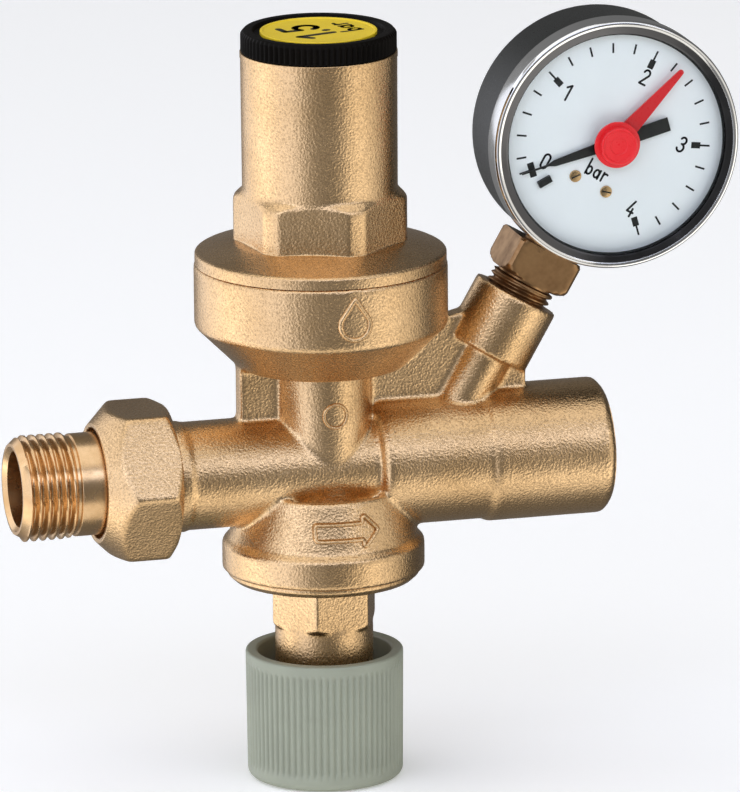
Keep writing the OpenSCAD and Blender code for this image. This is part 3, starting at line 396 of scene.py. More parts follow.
def turned(profile, segments, shape=None, closed=True, soften=0, hold=None):
    """Points and faces of a profile turned about Z. shape(angles, r, z) gives each row's radii.
    soften rounds edges by that many passes of smoothing, except where hold(points) is 1."""
    angles = np.arange(segments) * TURN / segments
    grid = np.zeros((len(profile), segments, 3))
    for i, (r, z) in enumerate(profile):
        radii = np.full(segments, float(r)) if shape is None or r <= 0 else shape(angles, r, z)
        grid[i, :, 0] = radii * np.cos(angles)
        grid[i, :, 1] = radii * np.sin(angles)
        grid[i, :, 2] = z
    free = 1.0 if hold is None else (1 - hold(grid))[..., None]
    for _ in range(soften):
        around = (np.roll(grid, 1, 1) + np.roll(grid, -1, 1)) / 2
        if closed:
            along = (np.roll(grid, 1, 0) + np.roll(grid, -1, 0)) / 2
        else:
            along = grid.copy()
            along[1:-1] = (grid[2:] + grid[:-2]) / 2
        grid = grid + (around + along - 2 * grid) * 0.25 * free
    return grid.reshape(-1, 3), grid_faces(len(profile), segments, closed)


def prism_radius(angles, across_flats, sides, turn):
    """Distance from the axis to the flats of a prism, at each angle; turn is a flat's own angle."""
    step = TURN / sides
    off = (angles - turn + step / 2) % step - step / 2
    return across_flats / 2 / np.cos(off)


def thread_wave(phase):
    """Height of a thread's flank from 0 at the root to 1 at the crest, with a phase in turns."""
    crest, root = 0.18, 0.14
    away = np.abs((phase % 1.0) - 0.5) * 2
    return np.clip((away - root) / (1 - crest - root), 0, 1)


# ---------------------------------------------------------------- forged valve body


def neighbours_mean(points, edges):
    """Mean of each point's neighbours."""
    count = np.bincount(edges.ravel(), minlength=len(points)).astype(float)
    total = np.stack([
        np.bincount(edges[:, 0], points[edges[:, 1], c], len(points))
        + np.bincount(edges[:, 1], points[edges[:, 0], c], len(points))
        for c in range(3)], 1)
    return total / np.maximum(count, 1)[:, None]


def forged_copy(node, voxel, passes, hold, cutter, trim):
    """A CAD node's mesh, cut, remeshed, smoothed into a forging and trimmed, in millimetres."""
    source = frame["nodes"][node]
    work = bpy.data.objects.new(node + "_work", source.data.copy())
    bpy.context.scene.collection.objects.link(work)
    cut = work.modifiers.new("cut", "BOOLEAN")
    cut.object = cutter
    cut.solver = "EXACT"
    remesh = work.modifiers.new("remesh", "REMESH")
    remesh.mode = "VOXEL"
    remesh.voxel_size = voxel * MM
    depsgraph = bpy.context.evaluated_depsgraph_get()
    mesh = bpy.data.meshes.new_from_object(work.evaluated_get(depsgraph))
    for gone in (work, cutter):
        bpy.data.objects.remove(gone)
    points = np.empty(len(mesh.vertices) * 3)
    mesh.vertices.foreach_get("co", points)
    points = points.reshape(-1, 3) / MM
    edges = np.empty(len(mesh.edges) * 2, np.int64)
    mesh.edges.foreach_get("vertices", edges)
    edges = edges.reshape(-1, 2)
    free = (1 - hold(points))[:, None]
    for _ in range(passes):
        points = points + (neighbours_mean(points, edges) - points) * 0.6 * free
    points = trim(points)
    mesh.vertices.foreach_set("co", points.ravel())
    mesh.materials.clear()
    return mesh


def plain_cylinder(name, radius, matrix, length):
    """A closed cylinder in metres, used only to cut with."""
    points, faces = turned([(0, 0), (radius, 0), (radius, length), (0, length)], 128, closed=False)
    mesh = bpy.data.meshes.new(name)
    mesh.from_pydata([tuple(p) for p in points], [], faces)
    return placed(name, mesh, matrix)


# Size of the outlet's machined mouth
SLEEVE_R = 12.1
SLEEVE_L = 17.0
# Outer walls of the body that carry raised marks
HOUSING_Z = [-20.5, -14.9, -14.2, -14.19, -3.8]
HOUSING_R = [20.0, 20.0, 19.4, 18.9, 15.5]
BOWL_R = 25.0
COLUMN_R = 9.3
COLUMN_SHIFT = 1.1


def body_hold(points):
    """1 on the machined places of the body: the ports' mouths and the faces under bell and plug."""
    x, y, z = points.T
    off_pipe = np.hypot(y, z)
    off_valve = np.hypot(x - axis_x, y)
    held = (x < nut_high[0] + 0.6) | ((x > outlet_end - 0.9) & (off_pipe < SLEEVE_R + 0.4))
    held |= (off_valve < 22.6) & (z > 30)
    held |= (off_valve < 16.9) & (z < -12)
    return held.astype(float)


def trim_marks(points):
    """Lays the wall bare where the raised marks go, so that crisp ones can be set on it."""
    x, y, z = points[:, 0] - axis_x, points[:, 1], points[:, 2]
    off_valve = np.hypot(x, y)
    front = y < 0
    wall = np.interp(z, HOUSING_Z, HOUSING_R)
    at_arrow = front & (np.abs(x) < 8.5) & (z > -13.6) & (z < -5.2) & (off_valve > wall)
    at_drop = front & (np.abs(x) < 5) & (z > 30) & (z < 42) & (off_valve > BOWL_R)
    for place, radius in ((at_arrow, wall), (at_drop, np.full(len(x), BOWL_R))):
        share = radius[place] / off_valve[place]
        points[place, 0] = axis_x + x[place] * share
        points[place, 1] = y[place] * share
    at_ring = front & (np.abs(x) < 3.6) & (z > 9) & (z < 16)
    column = -COLUMN_SHIFT - np.sqrt(COLUMN_R ** 2 - x[at_ring] ** 2)
    points[at_ring, 1] = np.maximum(y[at_ring], column)
    return points


def make_body():
    """The forged body with its machined outlet."""
    mouth = AT_VALVE @ Matrix.Translation((outlet_end - axis_x - SLEEVE_L, 0, 0)) @ TO_X
    cutter = plain_cylinder("mouth_cutter", SLEEVE_R, mouth, SLEEVE_L + 1)
    mesh = forged_copy("valve_body", 0.43, 4, body_hold, cutter, trim_marks)
    finish_piece("forged_body", mesh, "valve", "forged_brass", replaces=["valve_body"], smooth=60)
    make_outlet_sleeve(mouth)


def make_outlet_sleeve(matrix):
    """The machined mouth of the outlet: a chamfered female thread that runs helically."""
    core = 9.32
    rows = [(core + 0.6, 0.0)] + [(core, z) for z in np.arange(0.2, SLEEVE_L - 1.35, PIPE_PITCH / 9)]
    rows += [(core, SLEEVE_L - 1.3), (core + 1.6, SLEEVE_L - 0.02)]

    def shape(angles, r, z):
        if abs(r - core) >= 0.01:
            return np.full(len(angles), r)
        fade = min(1.0, max(0.0, (z - 1.0) / 1.5))
        groove = thread_wave(z / PIPE_PITCH - angles / TURN)
        return np.maximum(r, core + PIPE_DEPTH * (1 - groove) * fade)

    profile = rows + [(SLEEVE_R, SLEEVE_L - 0.02), (SLEEVE_R, 0.0)]
    points, faces = turned(profile, 120, shape)
    add_piece("outlet_thread", points, faces, "valve", "machined_brass", matrix, smooth=35)


# ---------------------------------------------------------------- raised forging marks


def bead(name, outline, radius_at, width, height, shift=0.0):
    """A raised rounded line along a closed outline (x, z), on the front of a wall of revolution."""
    path = np.array(dense(outline, 0.35))
    ahead, behind = np.roll(path, -1, 0), np.roll(path, 1, 0)
    along = (ahead - behind) / np.linalg.norm(ahead - behind, axis=1)[:, None]
    across = np.stack([along[:, 1], -along[:, 0]], 1)
    section = [(-0.5, -0.35), (-0.46, 0.35), (-0.25, 0.85), (0, 1.0),
               (0.25, 0.85), (0.46, 0.35), (0.5, -0.35)]
    points = []
    for place, side in zip(path, across):
        for u, h in section:
            x, z = place + side * u * width
            wall = radius_at(z) + h * height
            y = -math.sqrt(max(wall ** 2 - x ** 2, 0)) - shift
            points.append((x, y, z))
    faces = grid_faces(len(path), len(section), True)
    add_piece(name, points, faces, "valve", "forged_brass", AT_VALVE, smooth=70)


def make_marks():
    """The flow arrow, a plain drop on the bowl and a ring on the column."""
    length, head, shaft, middle = 13.0, 6.7, 3.1, -9.3
    neck = length / 2 - head / 2
    arrow = [(-length / 2, shaft / 2, 0.6), (neck, shaft / 2, 0.4), (neck, head / 2, 0.5),
             (length / 2, 0, 0.5), (neck, -head / 2, 0.5), (neck, -shaft / 2, 0.4),
             (-length / 2, -shaft / 2, 0.6)]
    arrow = [(x + 0.4, z + middle, r) for x, z, r in arrow]
    bead("flow_arrow", rounded(arrow), lambda z: np.interp(z, HOUSING_Z, HOUSING_R), 0.9, 0.75)
    turn = [math.radians(a) for a in range(-200, 21, 10)]
    drop = [(3.0 * math.cos(a) + 0.2, 3.0 * math.sin(a) + 34.4) for a in turn] + [(0.2, 39.6)]
    bead("drop_mark", drop, lambda z: BOWL_R, 1.0, 0.48)
    ring = [(2.35 * math.cos(a), 2.35 * math.sin(a) + 12.5) for a in np.arange(0, TURN, TURN / 40)]
    bead("round_mark", ring, lambda z: COLUMN_R, 0.7, 0.45, COLUMN_SHIFT)


# ---------------------------------------------------------------- bell housing and cap


def make_bell():
    """The spring housing: a turned flange, a forged hexagon and a long barrel."""
    top = bell_high[2]
    seam, foot, shoulder, skirt = 41.6, 46.0, 55.8, bell_low[2]
    flat_turn = math.radians(10)
    hex_turned, across = 17.1, 31.2
    outer = [(24.8, seam), (24.8, 43.7, 0.5), (24.2, 44.0, 0.4), (17.6, foot, 0.8), (15.15, foot + 0.4)]
    outer += [(15.3, shoulder + 1), (15.4, top - 1.2), (15.5, top - 1.15), (15.5, top, 0.15)]
    inner = [(13.6, top, 0.2), (13.6, 79.0), (13.35, 79.0), (13.35, 68.0), (13.0, 68.0), (13.0, 47.0),
             (17.6, 43.0), (17.6, skirt), (21.95, skirt), (21.95, seam)]
    profile = dense(rounded(outer + inner), 0.38)

    def shape(angles, r, z):
        radii = np.full(len(angles), r)
        if foot - 0.2 < z < shoulder + 0.6 and 15.0 < r < 20.0:
            cone = hex_turned + 0.35 - max(0.0, z - (shoulder - 1.3)) * 0.95
            prism = np.minimum(prism_radius(angles, across, 6, flat_turn), min(hex_turned, cone))
            if z <= shoulder:
                radii = np.maximum(radii, prism)
        return radii

    def hold(grid):
        r = np.hypot(grid[..., 0], grid[..., 1])
        return ((grid[..., 2] > top - 1.6) | (r < 15.0) | (grid[..., 2] < seam + 0.05)).astype(float)

    points, faces = turned(profile, 360, shape, soften=6, hold=hold)
    add_piece("forged_bell", points, faces, "valve", "forged_brass", AT_VALVE, ["bell_housing"], smooth=50)


def rib_wave(angles, count, sharpness):
    """1 on a rib and 0 between ribs."""
    return (0.5 + 0.5 * np.cos(angles * count)) ** sharpness


def make_cap():
    """The ribbed plastic cap, hollow underneath, with a shallow well for its disc."""
    low, top = cap_low[2], cap_high[2]
    radius, rim = (cap_high[0] - cap_low[0]) / 2, bell_high[2]
    ribs, rib_h = 80, 0.42
    outer = [(13.3, low, 0.3), (13.3, rim), (radius - 0.25, rim, 0.2), (radius, rim + 0.35, 0.2)]
    outer += [(radius, top - 0.75, 0.2), (radius - 0.65, top, 0.35)]
    well = [(13.05, top, 0.25), (12.75, top - 0.8, 0.15), (0, top - 0.8)]

    def shape(angles, r, z):
        if r <= radius - 0.5:
            return np.full(len(angles), r)
        depth = rib_h * min(1.0, max(0.0, (z - rim - 0.1) / 0.3), max(0.0, (top - 0.35 - z) / 0.5))
        return r - depth * (1 - rib_wave(angles, ribs, 0.8))

    profile = [(0, top - 1.9), (12.0, top - 1.9)] + rounded([(12.0, low)] + outer + well, closed=False)
    points, faces = turned(profile, ribs * 8, shape, closed=False)
    add_piece("cap_moulding", points, faces, "cap", "cap_black", AT_VALVE, ["cap"], smooth=35)
    make_cap_disc(top)


def make_cap_disc(top):
    """The printed disc in the cap, with a raised edge and the factory setting on it."""
    radius = 11.5
    face = top - 0.32
    edge = face + 0.16
    profile = rounded([(0, top - 0.8), (radius, top - 0.8), (radius, edge, 0.12), (radius - 0.55, edge, 0.1),
                       (radius - 0.75, face, 0.1), (0, face)], closed=False)
    points, faces = turned(profile, 128, closed=False)
    add_piece("cap_disc", points, faces, "cap", "label_yellow", AT_VALVE, ["cap_label"], smooth=35)
    turn = Matrix.Rotation(math.radians(105), 4, "Z")
    for name, text, height, down in (("setting_number", "1.5", 8.2, 2.4), ("setting_unit", "bar", 4.6, -5.6)):
        place = AT_VALVE @ Matrix.Translation((0, 0, face)) @ turn @ Matrix.Translation((0, down, 0))
        lettering(name, text, height, place, "cap", "label_yellow", 0.165, 1.15)


def arc(x, y, rx, ry, start, end, steps=14):
    """Points on an ellipse between two angles in degrees, anticlockwise from +X."""
    angles = np.radians(np.linspace(start, end, steps + 1))
    return [(x + rx * math.cos(a), y + ry * math.sin(a)) for a in angles]


# Strokes of a plain condensed alphabet, 1 high; the last number is the width
GLYPHS = {
    "0": ([arc(0.24, 0.74, 0.19, 0.21, 0, 180) + arc(0.24, 0.26, 0.19, 0.21, 180, 360)
           + [(0.43, 0.74)]], 0.48),
    "1": ([[(0.06, 0.74), (0.30, 0.95), (0.30, 0.0)]], 0.40),
    "2": ([arc(0.24, 0.73, 0.19, 0.22, 170, -20) + [(0.05, 0.05), (0.45, 0.05)]], 0.48),
    "3": ([arc(0.22, 0.74, 0.18, 0.21, 160, -80) + [(0.20, 0.53)],
           [(0.20, 0.53)] + arc(0.22, 0.29, 0.21, 0.24, 85, -160)], 0.48),
    "4": ([[(0.30, 0.98), (0.05, 0.27), (0.46, 0.27)], [(0.34, 0.50), (0.34, 0.0)]], 0.50),
    "5": ([[(0.42, 0.95), (0.11, 0.95), (0.08, 0.55)] + arc(0.23, 0.32, 0.20, 0.27, 110, -160)], 0.48),
    ".": ([[(0.06, 0.0), (0.06, 0.06)]], 0.14),
    "b": ([[(0.07, 1.0), (0.07, 0.0)], arc(0.23, 0.28, 0.16, 0.25, 180, -180, 20)], 0.46),
    "a": ([arc(0.21, 0.28, 0.16, 0.25, 0, 360, 20), [(0.39, 0.56), (0.39, 0.0)]], 0.48),
    "r": ([[(0.07, 0.56), (0.07, 0.0)], [(0.07, 0.34)] + arc(0.24, 0.34, 0.17, 0.18, 170, 60, 6)], 0.34),
}


def lettering(name, text, height, matrix, body, slot, weight=0.13, stretch=1.0):
    """Generic numbers or units as a thin raised print, centred on matrix's origin, facing its +Z."""
    gap = 0.10
    total = sum(GLYPHS[c][1] for c in text) + gap * (len(text) - 1)
    pen = -total / 2
    parts = []
    for character in text:
        strokes, width = GLYPHS[character]
        for stroke in strokes:
            line = [((pen + x) * height * stretch, (y - 0.5) * height) for x, y in stroke]
            parts += [stroke_piece(a, b, weight * height) for a, b in zip(line, line[1:])]
        pen += width + gap
    points, faces = join(parts)
    add_piece(name, points, faces, body, slot, matrix, smooth=30, material=INK)


def stroke_piece(a, b, width):
    """A short stroke with round ends."""
    way = math.atan2(b[1] - a[1], b[0] - a[0])
    turns = np.radians(np.linspace(-90, 90, 7))
    outline = [(b[0] + width / 2 * math.cos(way + t), b[1] + width / 2 * math.sin(way + t)) for t in turns]
    outline += [(a[0] - width / 2 * math.cos(way + t), a[1] - width / 2 * math.sin(way + t)) for t in turns]
    count = len(outline)
    points = [(x, y, PRINT) for x, y in outline] + [(x, y, 0) for x, y in outline]
    faces = [tuple(range(count))]
    faces += [(k, (k + 1) % count, (k + 1) % count + count, k + count) for k in range(count)]
    return points, faces


# ---------------------------------------------------------------- inlet union


def make_nut():
    """The union nut: a forged hexagon with a cone at the front."""
    length = nut_high[0] - nut_low[0]
    across = nut_high[2] - nut_low[2]
    corner = across / math.sqrt(3)
    profile = [(10.9, 0.0, 0.3), (11.8, 0.0, 0.3), (corner, 5.0), (corner, length - 1.6),
               (corner - 2.2, length, 0.3), (12.55, length, 0.3), (12.55, 3.0), (10.9, 3.0)]
    profile = dense(rounded(profile), 0.4)

    def shape(angles, r, z):
        flats = prism_radius(angles, across, 6, 0.0)
        return np.minimum(flats, r) if r > 12.6 else np.full(len(angles), r)

    def hold(grid):
        r = np.hypot(grid[..., 0], grid[..., 1])
        return (r < 12.56).astype(float) * 0.9

    points, faces = turned(profile, 288, shape, soften=8, hold=hold)
    place = Matrix.Translation((nut_low[0], 0, 0)) @ TO_X
    add_piece("forged_nut", points, faces, "nut", "forged_brass", place, ["union_nut"], smooth=50)


def make_tailpiece():
    """The inlet tailpiece: a helical male thread, a plain neck and the flange the nut pulls on."""
    crest, thread_end = tail_thread_r(), 10.6
    bore, neck, flange_r = 7.5, 10.15, 12.25
    flange = tail_end - 2.5
    mouth = [(bore + 0.9, 0.0, 0.1), (crest - 1.5, 0.0, 0.1), (crest - 0.2, 1.2)]
    behind = [(crest - 0.75, thread_end + 0.5), (crest - 0.75, thread_end + 1.0),
              (neck, thread_end + 1.3, 0.2), (neck, flange), (flange_r, flange), (flange_r, tail_end),
              (bore, tail_end), (bore, 0.8)]
    rows = rounded(mouth, closed=False)
    rows += [(crest, z) for z in np.arange(1.4, thread_end, PIPE_PITCH / 10)]
    rows += rounded(behind, closed=False)

    def shape(angles, r, z):
        if z > thread_end + 0.9 or r < crest - 1.6:
            return np.full(len(angles), r)
        fade = min(1.0, max(0.0, (thread_end + 0.4 - z) / 1.2))
        thread = crest - PIPE_DEPTH * (1 - thread_wave(z / PIPE_PITCH - angles / TURN)) * fade
        return np.minimum(r, thread)

    points, faces = turned(rows, 144, shape)
    add_piece("turned_tailpiece", points, faces, "tailpiece", "machined_brass", TO_X,
              ["inlet_tailpiece"], smooth=32)


def tail_thread_r():
    """Crest radius of the inlet thread, from its mount."""
    mount = [m for m in frame["record"]["mounts"] if m["name"] == "inlet_thread"][0]
    return mount["dims"]["r_mm"]


# ---------------------------------------------------------------- bottom plug and knob


def make_plug():
    """The plug under the lower housing: a flange, a forged hexagon and a turned neck for the knob."""
    seam, flange, hex_end, neck_end = -20.5, -22.3, -31.7, plug_low[2]
    flat_turn = math.radians(37.5)
    across, neck = 19.0, 9.7
    outer = [(neck - 0.6, neck_end, 0.3), (neck, neck_end + 0.6), (neck, hex_end), (neck + 0.01, flange),
             (17.9, flange, 0.3), (19.0, flange + 1.0, 0.6), (19.0, seam, 0.2), (16.4, seam),
             (16.4, plug_high[2])]
    inner = [(13.0, plug_high[2]), (13.0, -19.0), (7.0, -19.0), (7.0, -24.3),
             (4.05, -24.3), (4.05, neck_end)]
    profile = dense(rounded(outer + inner), 0.36)

    def shape(angles, r, z):
        if not (hex_end <= z <= flange + 0.05 and neck - 0.01 < r < neck + 1.3):
            return np.full(len(angles), r)
        cone = 11.0 - max(0.0, hex_end + 0.8 - z) * 0.8
        return np.minimum(prism_radius(angles, across, 6, flat_turn), cone)

    def hold(grid):
        r = np.hypot(grid[..., 0], grid[..., 1])
        return ((r < 8.5) | (grid[..., 2] > seam - 0.05)).astype(float)

    points, faces = turned(profile, 288, shape, soften=3, hold=hold)
    add_piece("forged_plug", points, faces, "valve", "forged_brass", AT_VALVE, ["bottom_plug"], smooth=50)


def make_knob():
    """The shut-off knob: a fluted cup with a hub inside that takes the stem."""
    low, high = knob_low[2], knob_high[2]
    rim, foot, flutes, depth = 15.6, 15.4, 72, 0.5
    floor, hub_r, hub_top = low + 3.0, 5.4, -50.0
    socket_r, socket_floor = 2.9, -53.0
    outline = [(0, low + 0.5), (8.5, low + 0.5, 0.4), (9.5, low, 0.6), (foot - 0.05, low, 2.4),
               (foot, low + 3.2), (rim, high - 2.0), (rim, high, 0.5), (rim - 2.4, high, 0.6),
               (rim - 2.5, floor, 1.0), (hub_r, floor, 0.5), (hub_r, hub_top, 0.4),
               (socket_r, hub_top, 0.2), (socket_r, socket_floor), (0, socket_floor)]
    profile = dense(rounded(outline, closed=False), 0.7, closed=False)

    def shape(angles, r, z):
        inside = min(1.0, max(0.0, (z - low - 2.6) / 0.9), max(0.0, (high - 2.1 - z) / 0.5))
        if r < foot - 0.6 or inside <= 0:
            return np.full(len(angles), r)
        return r - depth * inside * (1 - rib_wave(angles, flutes, 0.45))

    points, faces = turned(profile, flutes * 9, shape, closed=False)
    add_piece("knob_moulding", points, faces, "shutoff_knob", "knob_sage", AT_VALVE, ["knob"], smooth=38)


# ---------------------------------------------------------------- pressure gauge


def make_case():
    """The gauge's black case, open at the front."""
    front, back, radius, wall = 7.9, -10.5, 24.25, 1.0
    outer = [(0, back), (19.0, back), (19.6, back), (radius, back, 1.6), (radius, front),
             (radius - wall, front)]
    inner = [(radius - wall, back + wall, 1.0), (0, back + wall)]
    profile = rounded(outer + inner, closed=False, steps=8)
    points, faces = turned(profile, 192, closed=False)
    add_piece("case_shell", points, faces, "valve", "case_black", FACE_ON, ["gauge_case"], smooth=35)


def make_bezel():
    """The bright ring, its inner slope in a dark chrome that paints in a shaded reflection, and the black surround
    between glass and dial.
    """
    front, rear, outer, lip, glass = 10.1, 4.2, 24.95, 22.3, 9.6
    band, case_r = 23.75, 24.3
    ring = [(band, glass), (band, front - 0.15, 0.1), (band + 0.5, front, 0.35),
            (outer - 0.3, front - 0.1, 0.3), (outer, front - 0.7, 0.5), (outer, rear + 0.5, 0.1),
            (outer - 0.25, rear, 0.2), (case_r, rear), (case_r, glass)]
    points, faces = turned(rounded(ring, steps=8), 256)
    add_piece("bezel_ring", points, faces, "valve", "bezel_chrome", FACE_ON, ["gauge_bezel"], smooth=40)
    # the inner slope gets the dark chrome: painted shade, standing in for the dark surroundings the ring reflects
    # there
    inner = [(lip, glass), (lip, glass + 0.02), (lip + 0.35, glass + 0.12, 0.1),
             (band, front - 0.15), (band, glass)]
    points, faces = turned(rounded(inner), 256)
    add_piece("bezel_throat_painted_shade", points, faces, "valve", "bezel_chrome", FACE_ON, smooth=40,
              material=PAINTED_SHADE_CHROME)
    gasket = [(21.9, 8.75), (22.4, 8.8), (23.2, 7.0), (22.9, 7.0)]
    points, faces = turned(rounded(gasket), 192)
    add_piece("dial_surround", points, faces, "valve", "rubber", FACE_ON, ["window_gasket"], smooth=40)


def flat_outline(points, front, back):
    """Points and faces of a flat plate with that outline (x, z), between two depths before the dial."""
    count = len(points)
    made = [(x, -front, z) for x, z in points] + [(x, -back, z) for x, z in points]
    faces = [tuple(range(count)), tuple(range(2 * count - 1, count - 1, -1))]
    faces += [(k, (k + 1) % count, (k + 1) % count + count, k + count) for k in range(count)]
    return made, faces


def join(parts):
    """Several (points, faces) as one."""
    points, faces = [], []
    for some, these in parts:
        base = len(points)
        points += [tuple(p) for p in some]
        faces += [tuple(base + i for i in face) for face in these]
    return points, faces


def swung(points, angle):
    """Outline points (x, z) turned clockwise by an angle in degrees, as the needle turns."""
    a = math.radians(angle)
    return [(x * math.cos(a) + z * math.sin(a), -x * math.sin(a) + z * math.cos(a)) for x, z in points]


def block(width, inner, outer):
    """A rectangle that points outwards from the dial's centre, between two radii."""
    return [(-width / 2, inner), (-width / 2, outer), (width / 2, outer), (width / 2, inner)]


# Angles clockwise from the dial's top, in degrees, and the radius the digits stand on
ZERO_ANGLE = -135.0
SET_ANGLE = 15.1875
DIGIT_R = 14.2


def scale_angle(bar):
    """Angle of a pressure on the dial, clockwise from the top; the first step is a shorter one."""
    return float(np.interp(bar, [0.0, 0.2, 4.0], [ZERO_ANGLE, -125.9, 135.0]))


def make_dial():
    """The print on the dial, its stop and its two screws."""
    face, scale_bars, steps_per_bar = 7.0, 4, 5
    print_front = face + PRINT
    marks = []
    for i in range(scale_bars * steps_per_bar + 1):
        angle = scale_angle(i / steps_per_bar)
        marks.append(flat_outline(swung(block(0.38, 17.9, 19.9), angle), print_front, face))
        if i % steps_per_bar == 0:
            size = (3.0, 16.6, 17.95) if i == 0 else (1.25, 16.1, 17.95)
            # a hair higher than the line under it, so that the two faces don't meet
            marks.append(flat_outline(swung(block(*size), angle), print_front + 0.005, face))
    points, faces = join(marks)
    add_piece("scale_marks", points, faces, "valve", "dial_white", AT_GAUGE, smooth=30, material=INK)
    facing = AT_GAUGE @ Matrix.Translation((0, -face, 0)) @ Matrix.Rotation(math.pi / 2, 4, "X")
    for number in range(scale_bars + 1):
        # the 0 stands a little above its mark
        angle = math.radians(scale_angle(number) + (3 if number == 0 else 0))
        place = facing @ Matrix.Translation((DIGIT_R * math.sin(angle), DIGIT_R * math.cos(angle), 0))
        lettering(f"scale_{number}", str(number), 3.3, place, "valve", "dial_white")
    lettering("scale_unit", "bar", 3.2, facing @ Matrix.Translation((0, -6.4, 0)), "valve", "dial_white")
    stop = flat_outline(swung(block(1.3, 14.4, 17.2), -146), 7.9, face)
    add_piece("stop_block", *stop, "valve", "needle_black", AT_GAUGE, ["stop_pin"], smooth=30)
    for side, name in ((-1, "dial_screw_left"), (1, "dial_screw_right")):
        make_dial_screw(name, side * 3.6)
    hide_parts("dial_screws")


def make_dial_screw(name, x):
    """A small cheese-head screw with a slot."""
    head = [(0, 6.9), (1.2, 6.9), (1.2, 7.35, 0.18), (0, 7.42)]
    points, faces = turned(rounded(head, closed=False), 40, closed=False)
    place = AT_GAUGE @ Matrix.Translation((x, 0, -9.4))
    facing = place @ Matrix.Rotation(math.pi / 2, 4, "X")
    add_piece(name, points, faces, "valve", "machined_brass", facing, smooth=35)
    slot = flat_outline(swung(block(0.28, -0.95, 0.95), 40 if x < 0 else 75), 7.44, 7.3)
    add_piece(name + "_slot", *slot, "valve", "needle_black", place, smooth=30)


def make_needle():
    """The black needle at rest on 0, with its broad tail and its hub."""
    half = [(1.38, -11.6), (1.38, -1.0), (1.15, 1.0), (0.62, 12.6), (0.19, 14.0), (0.14, 19.6)]
    blade = [(-x, z) for x, z in half[2:]] + half[::-1] + [(-x, z) for x, z in half[:2]]
    points, faces = flat_outline(swung(blade, ZERO_ANGLE), 7.95, 7.6)
    hub, hub_faces = turned(rounded([(0.6, 7.1), (1.9, 7.1), (1.9, 8.1, 0.2), (0.6, 8.1)]), 48)
    hub = [(p[0], -p[2], p[1]) for p in hub]
    points, faces = join([(points, faces), (hub, hub_faces)])
    add_piece("needle_blade", points, faces, "needle", "needle_black", AT_GAUGE, ["needle"], smooth=30)


def make_set_pointer():
    """The red set pointer and the ridged knob that turns it."""
    tip = [(0.55 * math.sin(a), 19.0 + 0.55 * math.cos(a)) for a in np.radians(range(-90, 91, 15))]
    blade = [(-1.75, 0.5), (-1.65, 5.0)] + tip + [(1.65, 5.0), (1.75, 0.5)]
    points, faces = flat_outline(swung(blade, SET_ANGLE), 8.65, 8.3)
    add_piece("set_blade", points, faces, "set_pointer", "pointer_red", AT_GAUGE, ["set_pointer"], smooth=30)
    knob = [(0, 8.3), (0.9, 8.3), (0.9, 9.62), (4.64, 9.62), (4.64, 10.0, 0.12), (3.75, 10.05),
            (3.7, 11.5, 0.25), (3.25, 11.5, 0.15), (3.05, 11.2, 0.15), (1.8, 11.2, 0.1),
            (1.65, 11.0, 0.1), (0, 11.0)]
    points, faces = turned(rounded(knob, closed=False), 96, closed=False)
    add_piece("set_turning_knob", points, faces, "set_pointer", "pointer_red", FACE_ON,
              ["set_knob"], smooth=35)


def make_socket():
    """The gauge's stem: a G 1/4 thread, a square for the spanner and the shank in the case."""
    pitch, crest, depth, side = 1.337, 6.58, 0.86, 14.0
    thread_low, square_low, square_high, shank_top = -45.9, -32.4, -25.0, -16.0
    bore, shank_r = 1.5, 4.0
    mouth = [(bore, thread_low), (crest - 1.2, thread_low, 0.1), (crest - 0.2, thread_low + 0.9)]
    rows = rounded(mouth, closed=False)
    rows += [(crest, z) for z in np.arange(thread_low + 1.1, square_low - 0.7, pitch / 10)]
    rows += [(crest - 0.9, square_low - 0.5), (crest - 0.9, square_low)]
    rows += [(7.3, square_low), (8.9, square_low + 0.75), (9.5, square_low + 1.6),
             (9.5, square_high - 0.5), (8.9, square_high)]
    rows += [(shank_r, square_high), (shank_r, shank_top), (bore, shank_top)]

    def shape(angles, r, z):
        if z < square_low - 0.6 and r > crest - 1.3:
            fade = min(1.0, max(0.0, (square_low - 0.6 - z) / 1.0))
            return np.minimum(r, crest - depth * (1 - thread_wave(z / pitch - angles / TURN)) * fade)
        if z >= square_low and r > 7.05:
            flats = prism_radius(angles, side, 4, 0.0)
            return np.minimum(np.minimum(flats, r), 9.45)
        return np.full(len(angles), r)

    points, faces = turned(dense(rows, 1.0), 144, shape)
    add_piece("turned_socket", points, faces, "valve", "dark_brass", AT_GAUGE, ["gauge_socket"], smooth=30)


# ---------------------------------------------------------------- setting spring


def make_spring():
    """The wound setting spring, made at the length of its CAD part on a mesh of its own; it does not shorten here
    as the adjusting plug goes down.
    """
    radius, wire, turns, steps, sides = 9.5, 1.5, 5.5, 165, 12
    low, high = (corner[2] for corner in span("setting_spring"))
    points = []
    for i in range(steps + 1):
        t = i / steps
        angle = TURN * turns * t
        out = np.array([math.cos(angle), math.sin(angle), 0])
        centre = out * radius + np.array([0, 0, low + wire + (high - low - 2 * wire) * t])
        for k in range(sides):
            a = TURN * k / sides
            points.append(centre + out * wire * math.cos(a) + np.array([0, 0, wire * math.sin(a)]))
    faces = grid_faces(steps + 1, sides, False)
    faces += [tuple(range(sides - 1, -1, -1)), tuple(steps * sides + k for k in range(sides))]
    piece = add_piece("wound_setting_spring", points, faces, "valve", "steel", AT_VALVE,
                      ["setting_spring"], smooth=60)
    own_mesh(piece)


# ---------------------------------------------------------------- make everything

for row in frame["record"]["subparts"]:
    node = frame["nodes"][row["node"]]
    node.data.materials.clear()
    node.data.materials.append(MATERIALS[row["material_slot"]])

make_body()
make_marks()
make_bell()
make_cap()
make_nut()
make_tailpiece()
make_plug()
make_knob()
make_case()
make_bezel()
make_dial()
make_needle()
make_set_pointer()
make_socket()
make_spring()

# ---------------------------------------------------------------- stage, light and camera


CAMERA_AZIMUTH = -15.3
CAMERA_ELEVATION = 14.4


